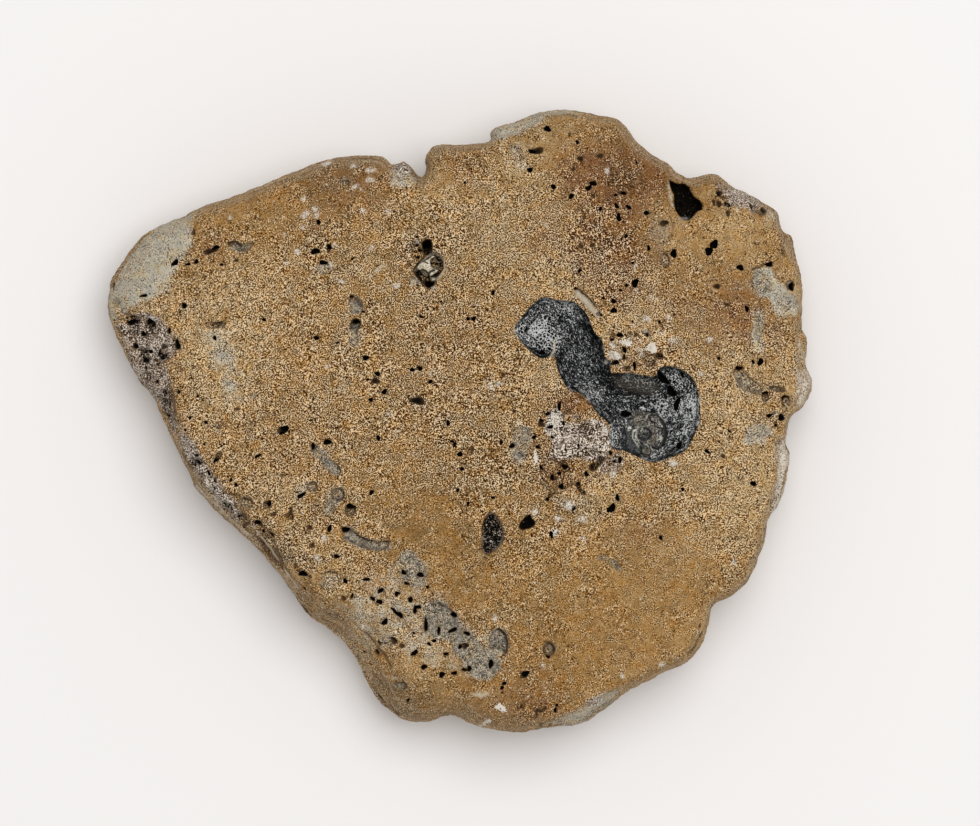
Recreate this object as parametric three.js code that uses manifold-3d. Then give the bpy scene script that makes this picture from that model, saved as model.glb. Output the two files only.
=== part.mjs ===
// Ammonite fossil slab: a flat, sea-worn piece of shelly limestone, drilled all over by boring
// worms, with a small ammonite lying in the dark hollow of its upper face.
//
// Millimetres, +Z up. The slab lies on its flat underside at z = 0, with the origin under the
// middle of its box. Places on the upper face are counted in squares of a drawing grid, u from
// the left and v from the back edge forwards, and place() turns them into millimetres.

import * as THREE from 'three';
import { mergeVertices } from 'three/addons/utils/BufferGeometryUtils.js';
import Module from 'manifold-3d';

// ---- Driving dimensions, in mm ----
const SLAB_LENGTH = 141.4;
const SLAB_THICKNESS = 28;
const GIRTH_HEIGHT = 12.5; // where the slab is widest
const UNDERSIDE_ROUNDING = 15; // how far in from the girth the flat underside starts
const AMMONITE_DIAMETER = 9.2;
const AMMONITE_THICKNESS = 1.7;
const AMMONITE_DEPTH = 1.2; // from the face down to the top of the coil
const SHELL_LENGTH = 5.4;
const SHELL_WIDTH = 4.4;
const SHELL_HEIGHT = 1.5;
const SHELL_WALL = 0.6;
const SHELL_DEPTH = 0.5; // from the face down to the shell's rim
const FIT_GAP = 0.3; // left between a fossil and the stone around it

// ---- The drawing grid ----
const GRID_LENGTH = 707; // squares along the slab
const SQUARE = SLAB_LENGTH / GRID_LENGTH;
const CENTRE_U = 459.5;
const CENTRE_V = 421;

// The girth of the slab, clockwise from its left end, in grid squares.
const OUTLINE = [
  [106, 307], [112, 277], [127, 253], [143, 235], [165, 222], [184, 215], [189, 211], [208, 203],
  [237, 194], [270, 181], [300, 169], [322, 160], [345, 156], [372, 155], [385, 158], [393, 165],
  [402, 161], [409, 165], [420, 176], [425, 171], [424, 160], [429, 150], [437, 145], [464, 145],
  [489, 141], [490, 132], [498, 126], [525, 117], [545, 110], [570, 109], [600, 115], [622, 122],
  [636, 140], [648, 151], [668, 163], [679, 174], [693, 178], [712, 174], [723, 178], [733, 187],
  [750, 193], [766, 203], [778, 211], [783, 229], [793, 236], [796, 250], [801, 275], [803, 305],
  [803, 328], [809, 338], [809, 352], [807, 366], [813, 380], [811, 395], [803, 408], [791, 417],
  [787, 440], [791, 455], [787, 482], [779, 506], [768, 521], [767, 533], [760, 555], [748, 582],
  [731, 597], [714, 606], [709, 625], [700, 648], [686, 663], [660, 675], [628, 693], [600, 714],
  [580, 725], [550, 729], [515, 733], [480, 728], [460, 719], [448, 716], [425, 723], [404, 721],
  [382, 707], [370, 690], [352, 657], [330, 632], [308, 619], [285, 585], [255, 549], [221, 518],
  [197, 492], [184, 468], [168, 434], [155, 404], [137, 380], [120, 348], [109, 322],
];

// How far in from the girth the upper face starts to turn down: [bearing in degrees, mm].
const EDGE_ROUNDING = [
  [-180, 10], [-160, 8], [-140, 9], [-120, 10], [-100, 8], [-80, 6], [-50, 4.5], [-15, 4.5],
  [0, 5], [20, 4.5], [40, 6], [60, 5], [100, 5], [130, 5], [150, 8], [180, 10],
];

// Broad swells and dips of the upper face: [u, v, radius in squares, height in mm].
const RELIEF = [
  [118, 300, 110, -4.5], [220, 590, 110, -4], [400, 740, 90, -3], [560, 100, 80, -1.5],
  [830, 380, 90, -2], [770, 175, 70, -2], [580, 450, 45, -0.6], [450, 640, 70, -0.8],
  [330, 330, 120, 0.4], [640, 560, 110, 0.5], [560, 190, 80, 0.4],
];
const FACE_HEIGHT = 27.5; // the upper face before its relief

// The worm-shaped dark hollow, as overlapping scoops: [u, v, width, length, depth in mm, turn].
const HOLLOW = [
  [536, 327, 42, 54, 1.6, 20], [564, 328, 50, 52, 2.6, 10], [585, 362, 44, 82, 3.4, 30],
  [624, 399, 66, 56, 3.4, -25], [655, 417, 84, 88, 2.9, 0], [674, 388, 38, 42, 2.4, -20],
];
const AMMONITE_PLACE = [644, 434];
const SHELL_PLACE = [429, 267];
const SHELL_TURN = 30; // degrees

// Cavities, grooves and the larger borings: [u, v, width, length, turn in degrees].
const CAVITIES = [
  [680, 200, 22, 36, 20], [692, 205, 20, 26, 10], [491, 531, 22, 42, -10], [525, 524, 15, 15, 0],
  [421, 248, 24, 24, 0], [426, 284, 20, 9, -15], [156, 340, 42, 50, 35], [135, 335, 24, 44, 35],
  [168, 392, 14, 46, 25], [236, 515, 14, 50, 40], [649, 361, 17, 15, 0], [659, 356, 9, 9, 0],
  [607, 463, 17, 15, 0], [583, 490, 13, 17, 0], [498, 641, 20, 28, 0],
];
const GROOVES = [
  [240, 247, 27, 12, 0], [216, 322, 21, 8, 0], [356, 307, 18, 22, 20], [355, 327, 13, 17, 0],
  [325, 459, 10, 42, 45], [333, 503, 18, 28, -25], [306, 492, 9, 20, -50], [351, 510, 14, 15, 0],
  [353, 536, 11, 24, 40], [377, 546, 30, 11, 0], [333, 575, 26, 10, 0], [444, 609, 34, 9, -25],
  [399, 685, 16, 12, 0], [587, 304, 9, 38, 45], [664, 263, 11, 16, 0], [745, 380, 11, 28, 40],
  [612, 564, 34, 8, -40], [575, 273, 13, 24, 0], [756, 430, 40, 16, 15], [776, 470, 12, 50, 5],
  [748, 205, 14, 26, 15], [762, 318, 12, 46, 0],
];
const BORINGS = [
  [175, 263, 9, 6, 0], [190, 264, 8, 5, 0], [212, 251, 15, 7, 10], [144, 297, 9, 6, 0],
  [185, 306, 7, 6, 0], [117, 304, 9, 9, 0], [317, 252, 9, 8, 0], [325, 269, 15, 14, 0],
  [331, 248, 6, 6, 0], [216, 338, 5, 9, 0], [366, 359, 7, 6, 0], [377, 382, 9, 8, 0],
  [387, 393, 7, 6, 0], [417, 400, 14, 8, 0], [254, 395, 10, 7, 0], [284, 430, 12, 9, 20],
  [219, 457, 9, 13, 0], [328, 443, 9, 6, 0], [292, 514, 8, 14, 0], [269, 504, 8, 9, 0],
  [300, 570, 8, 18, 30], [337, 556, 8, 5, 0], [374, 600, 12, 8, 0], [397, 612, 13, 7, 25],
  [412, 599, 7, 9, 0], [426, 625, 6, 17, 0], [415, 652, 9, 6, 0], [452, 629, 9, 6, 0],
  [468, 633, 9, 6, 0], [461, 646, 8, 7, 0], [467, 669, 10, 6, 0], [446, 674, 9, 7, 0],
  [491, 664, 5, 11, 0], [524, 673, 8, 6, 0], [550, 646, 11, 12, 0], [542, 709, 9, 6, 0],
  [547, 130, 9, 7, 0], [532, 153, 12, 8, -20], [530, 171, 6, 7, 0], [553, 188, 9, 6, -30],
  [594, 184, 9, 8, 0], [589, 190, 11, 6, 0], [571, 197, 8, 6, 0], [620, 194, 13, 5, 0],
  [617, 216, 6, 10, 0], [628, 208, 6, 5, 0], [648, 248, 5, 7, 0], [673, 254, 8, 10, 0],
  [633, 285, 10, 11, 30], [613, 307, 8, 13, 0], [713, 244, 8, 13, 0], [707, 251, 8, 8, 0],
  [719, 195, 9, 10, 0], [718, 207, 7, 6, 0], [739, 267, 9, 7, 0], [769, 266, 8, 9, 0],
  [791, 286, 9, 9, 0], [738, 367, 9, 8, 0], [764, 396, 9, 11, 0], [785, 401, 10, 12, 0],
  [781, 418, 9, 8, 0], [758, 362, 7, 7, 0], [619, 335, 8, 7, 0], [559, 444, 12, 9, 0],
  [453, 443, 8, 7, 0], [752, 483, 6, 6, 0], [682, 489, 6, 6, 0],
];

// Lumps that stand on the slab: the crust beside the hollow, and the rough rim at the back
// right: [u, v, width, length, height in mm].
const LUMPS = [
  [553, 417, 12, 10, 0.5], [590, 440, 26, 22, 0.5], [568, 433, 14, 16, 0.6], [602, 448, 12, 12, 0.5],
  [722, 188, 16, 10, 0.6], [735, 198, 14, 16, 0.7], [768, 210, 18, 14, 0.8], [142, 352, 14, 10, -0.6],
  [165, 322, 10, 10, -0.4], [150, 330, 9, 12, -0.8],
];

// ---- Small helpers ----
const wasm = await Module();
wasm.setup();

function place(u, v) {
  return [(u - CENTRE_U) * SQUARE, (CENTRE_V - v) * SQUARE];
}

function faceHeight(x, y) {
  let height = FACE_HEIGHT;
  for (const [u, v, radius, swell] of RELIEF) {
    const [atX, atY] = place(u, v);
    const distance = Math.hypot(x - atX, y - atY) / (radius * SQUARE);
    height += swell * Math.exp(-distance * distance);
  }
  return height;
}

function edgeRounding(x, y) {
  const bearing = THREE.MathUtils.radToDeg(Math.atan2(y, x));
  const next = Math.max(1, EDGE_ROUNDING.findIndex(([limit]) => limit >= bearing));
  const [from, start] = EDGE_ROUNDING[next - 1];
  const [to, end] = EDGE_ROUNDING[next];
  return THREE.MathUtils.mapLinear(bearing, from, to, start, end);
}

// How far the girth is from the middle of the slab along the bearing of (x, y).
const GIRTH = OUTLINE.map(([u, v]) => place(u, v)).reverse(); // anticlockwise from above

function girthReach(x, y) {
  const side = ([toX, toY]) => x * toY - y * toX;
  const index = GIRTH.findIndex((point, at) => (
    side(point) <= 0 && side(GIRTH[(at + 1) % GIRTH.length]) > 0));
  const from = new THREE.Vector2(...GIRTH[index]);
  const to = new THREE.Vector2(...GIRTH[(index + 1) % GIRTH.length]);
  const before = side(from.toArray());
  return from.lerp(to, before / (before - side(to.toArray()))).length();
}

// The height of the slab's upper skin anywhere inside the girth.
function skinHeight(x, y) {
  const inward = Math.max(0, girthReach(x, y) - Math.hypot(x, y));
  const rounding = edgeRounding(x, y);
  if (inward >= rounding) return faceHeight(x, y);
  const angle = Math.acos(1 - inward / rounding);
  return GIRTH_HEIGHT + (faceHeight(x, y) - GIRTH_HEIGHT) * Math.sin(angle);
}

// A closed manifold-3d solid of a three.js geometry.
function solid(geometry) {
  const bare = geometry.clone();
  bare.deleteAttribute('normal');
  bare.deleteAttribute('uv');
  const merged = mergeVertices(bare);
  return new wasm.Manifold(new wasm.Mesh({
    numProp: 3,
    vertProperties: Float32Array.from(merged.attributes.position.array),
    triVerts: Uint32Array.from(merged.index.array),
  }));
}

function geometryOf(cutSolid) {
  const cut = cutSolid.getMesh();
  const geometry = new THREE.BufferGeometry();
  geometry.setAttribute('position', new THREE.BufferAttribute(cut.vertProperties, 3));
  geometry.setIndex(new THREE.BufferAttribute(cut.triVerts, 1));
  geometry.computeVertexNormals();
  return geometry;
}

// Closed skin over a stack of rings that all have the same number of points, ends included.
function skin(rings) {
  const sides = rings[0].length;
  const points = rings.flat();
  const faces = [];
  for (let ring = 0; ring + 1 < rings.length; ring += 1) {
    for (let side = 0; side < sides; side += 1) {
      const a = ring * sides + side;
      const b = ring * sides + (side + 1) % sides;
      faces.push(a, b, b + sides, a, b + sides, a + sides);
    }
  }
  const closeWith = (firstPoint, outward) => {
    const middle = points.length;
    const total = new THREE.Vector3();
    for (let side = 0; side < sides; side += 1) total.add(points[firstPoint + side]);
    points.push(total.divideScalar(sides));
    for (let side = 0; side < sides; side += 1) {
      const a = firstPoint + side;
      const b = firstPoint + (side + 1) % sides;
      faces.push(...(outward ? [a, b, middle] : [b, a, middle]));
    }
  };
  closeWith(0, false);
  closeWith((rings.length - 1) * sides, true);
  const geometry = new THREE.BufferGeometry().setFromPoints(points);
  geometry.setIndex(faces);
  geometry.computeVertexNormals();
  return geometry;
}

// An ellipsoid centred on the slab's upper skin, reaching depth mm below it.
function scoop([u, v, width, length, turn], depth, sides, layers) {
  const [x, y] = place(u, v);
  const widest = Math.sin(Math.PI * Math.floor(layers / 2) / layers);
  const ball = new THREE.SphereGeometry(1, sides, layers);
  ball.rotateX(Math.PI / 2);
  ball.scale(width * SQUARE / 2 / widest, length * SQUARE / 2 / widest, depth);
  ball.rotateZ(THREE.MathUtils.degToRad(turn));
  ball.translate(x, y, skinHeight(x, y));
  return solid(ball);
}

function joined(solids) {
  return solids.reduce((all, one) => all.add(one));
}

// ---- The stone ----
// Rings run from the flat underside round the girth and over the upper face to its middle.
function blankStone() {
  const UNDER_STEPS = [90, 60, 28];
  const UPPER_STEPS = [0, 24, 50, 90];
  const FACE_SHARES = [0.8, 0.55, 0.28];
  const inset = ([x, y], distance) => {
    const share = 1 - distance / Math.hypot(x, y);
    return [x * share, y * share];
  };
  const underRing = (degrees) => GIRTH.map((point) => {
    const angle = THREE.MathUtils.degToRad(degrees);
    const [x, y] = inset(point, UNDERSIDE_ROUNDING * (1 - Math.cos(angle)));
    return new THREE.Vector3(x, y, GIRTH_HEIGHT * (1 - Math.sin(angle)));
  });
  const upperRing = (degrees) => GIRTH.map((point) => {
    const angle = THREE.MathUtils.degToRad(degrees);
    const [x, y] = inset(point, edgeRounding(...point) * (1 - Math.cos(angle)));
    const rise = (faceHeight(x, y) - GIRTH_HEIGHT) * Math.sin(angle);
    return new THREE.Vector3(x, y, GIRTH_HEIGHT + rise);
  });
  const faceRing = (share) => GIRTH.map((point) => {
    const [rimX, rimY] = inset(point, edgeRounding(...point));
    const x = rimX * share;
    const y = rimY * share;
    return new THREE.Vector3(x, y, faceHeight(x, y));
  });

  return solid(skin([
    ...UNDER_STEPS.map(underRing),
    ...UPPER_STEPS.map(upperRing),
    ...FACE_SHARES.map(faceRing),
  ]));
}

function ammoniteSeat() {
  const radius = AMMONITE_DIAMETER / 2 + FIT_GAP;
  const depth = AMMONITE_DEPTH + AMMONITE_THICKNESS + FIT_GAP;
  const seat = new THREE.CylinderGeometry(radius, radius, 2 * depth, 24);
  seat.rotateX(Math.PI / 2);
  const [x, y] = place(...AMMONITE_PLACE);
  seat.translate(x, y, faceHeight(x, y));
  return solid(seat);
}

function shellSeat() {
  const width = SHELL_LENGTH + 2 * FIT_GAP;
  const length = SHELL_WIDTH + 2 * FIT_GAP;
  const depth = SHELL_DEPTH + SHELL_HEIGHT + FIT_GAP;
  const seat = new THREE.CylinderGeometry(0.5, 0.5, 2 * depth, 16);
  seat.rotateX(Math.PI / 2);
  seat.scale(width, length, 1);
  seat.rotateZ(THREE.MathUtils.degToRad(SHELL_TURN));
  const [x, y] = place(...SHELL_PLACE);
  seat.translate(x, y, faceHeight(x, y));
  return solid(seat);
}

function stoneGeometry() {
  const CAVITY_DEPTH = 2.6;
  const GROOVE_DEPTH = 0.9;
  const LUMP_ROOT = 2;
  const boringDepth = ([, , width, length]) => 0.6 + 0.5 * Math.min(width, length) * SQUARE;
  const hollow = HOLLOW.map(([u, v, width, length, depth, turn]) => (
    scoop([u, v, width, length, turn], depth, 13, 6)));
  const cavities = CAVITIES.map((cavity) => scoop(cavity, CAVITY_DEPTH, 9, 4));
  const grooves = GROOVES.map((groove) => scoop(groove, GROOVE_DEPTH, 8, 3));
  const borings = BORINGS.map((boring) => scoop(boring, boringDepth(boring), 6, 3));
  const lumps = LUMPS.map(([u, v, width, length, height]) => (
    scoop([u, v, width, length, 0], LUMP_ROOT + height, 7, 4).translate(0, 0, -LUMP_ROOT)));
  const cut = joined([...hollow, ...cavities, ...grooves, ...borings]);
  return geometryOf(blankStone().subtract(cut).add(joined(lumps)).subtract(
    ammoniteSeat().add(shellSeat())));
}

// ---- The ammonite: a tapering tube coiled on a thin disc, its ribs at every other step ----
function ammoniteGeometry() {
  const TURNS = 2.3;
  const STEPS_PER_TURN = 16;
  const TUBE_SIDES = 8;
  const GROWTH_PER_TURN = 1.75; // each whorl is this many times as wide as the one inside it
  const RIB = 1.1; // how much a ribbed step stands out
  const MOUTH_BEARING = 225; // degrees
  const WHORL_GAP = 0.94; // share of the coil's pitch that the tube fills
  const DISC_THICKNESS = 0.5;
  const steps = Math.round(TURNS * STEPS_PER_TURN);
  const tubeShare = (GROWTH_PER_TURN - 1) / (GROWTH_PER_TURN + 1);
  const mouthReach = AMMONITE_DIAMETER / (1 + GROWTH_PER_TURN ** -0.5);
  const mouthMiddle = mouthReach / (1 + tubeShare);
  const coilShift = mouthReach - AMMONITE_DIAMETER / 2; // brings the coil's box to the middle
  const mouth = THREE.MathUtils.degToRad(MOUTH_BEARING);
  const rings = [];
  for (let step = 0; step <= steps; step += 1) {
    const turnsBack = (steps - step) / STEPS_PER_TURN;
    const middle = mouthMiddle * GROWTH_PER_TURN ** -turnsBack;
    const half = middle * tubeShare * WHORL_GAP * (step % 2 ? 1 : 1 / RIB);
    const bearing = mouth + turnsBack * 2 * Math.PI;
    const ring = [];
    for (let side = 0; side < TUBE_SIDES; side += 1) {
      const around = 2 * Math.PI * side / TUBE_SIDES;
      const out = middle + half * Math.cos(around);
      const up = Math.min(half, AMMONITE_THICKNESS / 2) * Math.sin(around);
      ring.push(new THREE.Vector3(out * Math.cos(bearing), out * Math.sin(bearing), up));
    }
    rings.push(ring);
  }
  const coil = skin(rings);
  coil.translate(-coilShift * Math.cos(mouth), -coilShift * Math.sin(mouth), 0);
  const discRadius = AMMONITE_DIAMETER * 0.43;
  const disc = new THREE.CylinderGeometry(discRadius, discRadius, DISC_THICKNESS, TUBE_SIDES * 2);
  disc.rotateX(Math.PI / 2);
  return geometryOf(solid(coil).add(solid(disc)));
}

// ---- The shell: a broken, cup-shaped piece of oyster shell ----
function shellGeometry() {
  const SHELL_SIDES = 14;
  const outer = 0.5;
  const inner = outer - SHELL_WALL / SHELL_LENGTH;
  const profile = [
    [0, 0], [outer * 0.7, 0], [outer, SHELL_HEIGHT * 0.5], [outer * 0.97, SHELL_HEIGHT],
    [inner, SHELL_HEIGHT], [inner * 0.8, SHELL_HEIGHT * 0.5], [0, SHELL_HEIGHT * 0.4],
  ].map(([radius, height]) => new THREE.Vector2(radius, height));
  const cup = new THREE.LatheGeometry(profile, SHELL_SIDES);
  cup.rotateX(Math.PI / 2);
  cup.scale(SHELL_LENGTH, SHELL_WIDTH, 1);
  return geometryOf(solid(cup));
}

// ---- The parts and where they lie ----
const MATERIALS = {
  limestone: new THREE.MeshStandardMaterial({ color: 0x8f7550, roughness: 0.85, metalness: 0 }),
  dark_fossil: new THREE.MeshStandardMaterial({ color: 0x55544f, roughness: 0.6, metalness: 0 }),
  pale_shell: new THREE.MeshStandardMaterial({ color: 0xd6cdbb, roughness: 0.55, metalness: 0 }),
};

function part(name, geometry, material) {
  const mesh = new THREE.Mesh(geometry, material);
  mesh.name = name;
  return mesh;
}

const slab = part('stone_slab', stoneGeometry(), MATERIALS.limestone);

const ammonite = part('ammonite', ammoniteGeometry(), MATERIALS.dark_fossil);
const [ammoniteX, ammoniteY] = place(...AMMONITE_PLACE);
const ammoniteTop = faceHeight(ammoniteX, ammoniteY) - AMMONITE_DEPTH;
ammonite.position.set(ammoniteX, ammoniteY, ammoniteTop - AMMONITE_THICKNESS / 2);

const shell = part('shell_fragment', shellGeometry(), MATERIALS.pale_shell);
const [shellX, shellY] = place(...SHELL_PLACE);
shell.position.set(shellX, shellY, faceHeight(shellX, shellY) - SHELL_DEPTH - SHELL_HEIGHT);
shell.rotation.z = THREE.MathUtils.degToRad(SHELL_TURN);

const group = new THREE.Group();
group.add(slab, ammonite, shell);

export default group;
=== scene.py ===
import math

import bpy
import numpy as np
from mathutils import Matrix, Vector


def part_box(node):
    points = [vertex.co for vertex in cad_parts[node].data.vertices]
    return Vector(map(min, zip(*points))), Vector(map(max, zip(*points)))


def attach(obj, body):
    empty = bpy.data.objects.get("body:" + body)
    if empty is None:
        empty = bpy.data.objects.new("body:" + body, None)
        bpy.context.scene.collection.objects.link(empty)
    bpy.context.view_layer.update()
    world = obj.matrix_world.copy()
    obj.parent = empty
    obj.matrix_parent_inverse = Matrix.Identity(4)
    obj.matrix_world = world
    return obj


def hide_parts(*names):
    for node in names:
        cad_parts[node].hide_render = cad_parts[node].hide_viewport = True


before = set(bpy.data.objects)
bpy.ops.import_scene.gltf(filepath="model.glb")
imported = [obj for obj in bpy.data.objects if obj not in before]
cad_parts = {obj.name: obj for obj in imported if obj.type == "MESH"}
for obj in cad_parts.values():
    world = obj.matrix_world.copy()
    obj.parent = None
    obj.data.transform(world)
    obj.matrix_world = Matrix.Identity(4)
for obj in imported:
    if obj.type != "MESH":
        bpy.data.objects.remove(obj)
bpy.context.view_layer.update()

import openvdb

RANDOM_SEED = 7


# ---------------------------------------------------------------------------------------------
# Measures. Shapes are worked out in millimetres and turned into metres when a mesh is made.
# Places on the face are counted in squares that are the photo's pixels: u from the picture's
# left edge and v down from its top edge, as in the CAD model. They were read off it.
# ---------------------------------------------------------------------------------------------
SLAB_LOW, SLAB_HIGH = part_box("stone_slab")
LENGTH = (SLAB_HIGH[0] - SLAB_LOW[0]) * 1000
DEPTH = (SLAB_HIGH[1] - SLAB_LOW[1]) * 1000
THICKNESS = (SLAB_HIGH[2] - SLAB_LOW[2]) * 1000
GRID_LENGTH = 707  # squares along the slab
SQUARE = LENGTH / GRID_LENGTH  # side of a square in mm
CENTRE_U = 459.5
CENTRE_V = 421
FACE_HEIGHT = THICKNESS - 0.5
GIRTH_HEIGHT = 0.45 * THICKNESS  # level of the girth round most of the slab
GIRTH_SWING = 1.2  # how far the girth wanders up and down
RAGGEDNESS = 0.36  # how far the girth wanders in and out
UNDERSIDE_ROUNDING = 15  # how far in from the girth the underside is rounded
UNDERSIDE_FULLNESS = 2.2
SKIN_MARGIN = 0.05  # the stone's skin stays this far inside the CAD outline
BED_HEIGHT = 0.9  # of the beds that show on the sides
BED_RELIEF = 0.3
HOLLOW_WALL = 1.5  # width of the hollow's wall
HOLLOW_FLOOR_SPREAD = 2.6  # how far each depth in HOLLOW_FLOOR carries
CRACK_DEPTH = 0.6
SIDE_BORINGS = 150  # scattered over the sides, which no list gives
SMALLEST_HOLE = 0.5
HOLE_TOP = 1.2  # how far over the ground a boring still cuts
VOXEL = 0.25
STONE_FACES = 197_000
DETAIL_PULL = 12  # how strongly plain ground is thinned before marked ground
PLAIN_LEVELS = 10  # steps in how plain the ground can be

# A seed for each use of random values, counted up where a list or a loop draws on it.
SEED = {
    "rim": 1, "girth": 2, "hollow rim": 3, "hollow floor": 4, "face": 5, "underside": 6,
    "vug rim": 11, "vug floor": 51, "gutter": 71, "lumps": 111, "holes": 131, "coil face": 201,
    "coil rim": 211, "shell": 301, "stray x": 301, "stray y": 302, "ends": 303, "beds": 401,
    "spots": 501, "borings": 1000,
}

# The girth of the slab, clockwise from its left end.
OUTLINE = [
    (106, 307), (112, 277), (127, 253), (143, 235), (165, 222), (184, 215), (189, 211), (208, 203),
    (237, 194), (270, 181), (300, 169), (322, 160), (345, 156), (372, 155), (385, 158), (393, 165),
    (402, 161), (409, 165), (420, 176), (425, 171), (424, 160), (429, 150), (437, 145), (464, 145),
    (489, 141), (490, 132), (498, 126), (525, 117), (545, 110), (570, 109), (600, 115), (622, 122),
    (636, 140), (648, 151), (668, 163), (679, 174), (693, 178), (712, 174), (723, 178), (733, 187),
    (750, 193), (766, 203), (778, 211), (783, 229), (793, 236), (796, 250), (801, 275), (803, 305),
    (803, 328), (809, 338), (809, 352), (807, 366), (813, 380), (811, 395), (803, 408), (791, 417),
    (787, 440), (791, 455), (787, 482), (779, 506), (768, 521), (767, 533), (760, 555), (748, 582),
    (731, 597), (714, 606), (709, 625), (700, 648), (686, 663), (660, 675), (628, 693), (600, 714),
    (580, 725), (550, 729), (515, 733), (480, 728), (460, 719), (448, 716), (425, 723), (404, 721),
    (382, 707), (370, 690), (352, 657), (330, 632), (308, 619), (285, 585), (255, 549), (221, 518),
    (197, 492), (184, 468), (168, 434), (155, 404), (137, 380), (120, 348), (109, 322),
]

# Round the rim: (bearing in degrees, width of the rounding, fullness of its curve, height of the
# girth). Widths and heights in mm.
RIM = [
    (-180, 4.5, 1.9, 9), (-168, 3.6, 2.1, 7), (-157, 4.6, 2.3, 6), (-145, 4.6, 2.3, 5.5),
    (-132, 5.0, 2.1, 5.5), (-118, 9, 1.7, 7), (-105, 10, 1.7, 8), (-95, 7, 2.0, 11),
    (-80, 5, 2.3, 12.5), (-50, 3.2, 2.6, 12.5), (-15, 3, 2.8, 12.5), (0, 3, 2.8, 12.5),
    (20, 3, 2.7, 12.5), (40, 4, 2.4, 12.5), (60, 3.4, 2.6, 12.5), (100, 3.4, 2.6, 12.5),
    (130, 3.8, 2.5, 12.5), (150, 8, 2.1, 12.5), (162, 10, 1.8, 12), (170, 7, 1.8, 11),
    (180, 4.5, 1.9, 9),
]

# Broad swells and dips of the upper face: (u, v, radius, height in mm).
RELIEF = [
    (118, 300, 110, -4.5), (220, 590, 110, -3), (400, 740, 90, -3), (560, 100, 80, -1.5),
    (830, 380, 90, -2), (770, 175, 70, -2), (580, 450, 45, -0.6), (450, 640, 70, -0.8),
    (330, 330, 120, 0.4), (640, 560, 110, 0.5), (560, 190, 80, 0.4),
]

# The dark, worm-shaped hollow: its rim, and how deep its floor lies around some places.
HOLLOW_RIM = [
    (548, 298), (560, 301), (573, 302), (583, 310), (589, 320), (594, 333), (602, 341), (604, 357),
    (611, 362), (610, 373), (630, 373), (652, 377), (657, 371), (663, 366), (676, 368), (684, 372),
    (692, 379), (697, 390), (699, 408), (698, 424), (691, 440), (684, 451), (672, 456), (660, 461),
    (650, 462), (638, 457), (622, 450), (612, 449), (609, 436), (609, 424), (598, 415), (589, 402),
    (578, 393), (568, 389), (562, 380), (556, 366), (555, 357), (549, 357), (541, 359), (533, 354),
    (524, 346), (515, 334), (515, 326), (523, 316), (531, 306), (540, 299),
]
HOLLOW_FLOOR = [  # (u, v, depth in mm)
    (522, 328, 0.7), (540, 328, 1.3), (546, 345, 1.5), (564, 318, 2.0), (585, 350, 3.2),
    (578, 374, 2.4), (600, 385, 3.2), (630, 390, 3.4), (610, 412, 2.8), (650, 396, 2.6),
    (676, 380, 1.5), (684, 412, 1.5), (676, 442, 1.6), (644, 434, 2.6), (628, 440, 2.6),
    (655, 452, 2.4), (640, 418, 2.4), (616, 436, 0.9), (668, 430, 3.2),
    (664, 446, 3.0), (663, 418, 3.0),
]
AMMONITE_PLACE = (644, 434)

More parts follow.
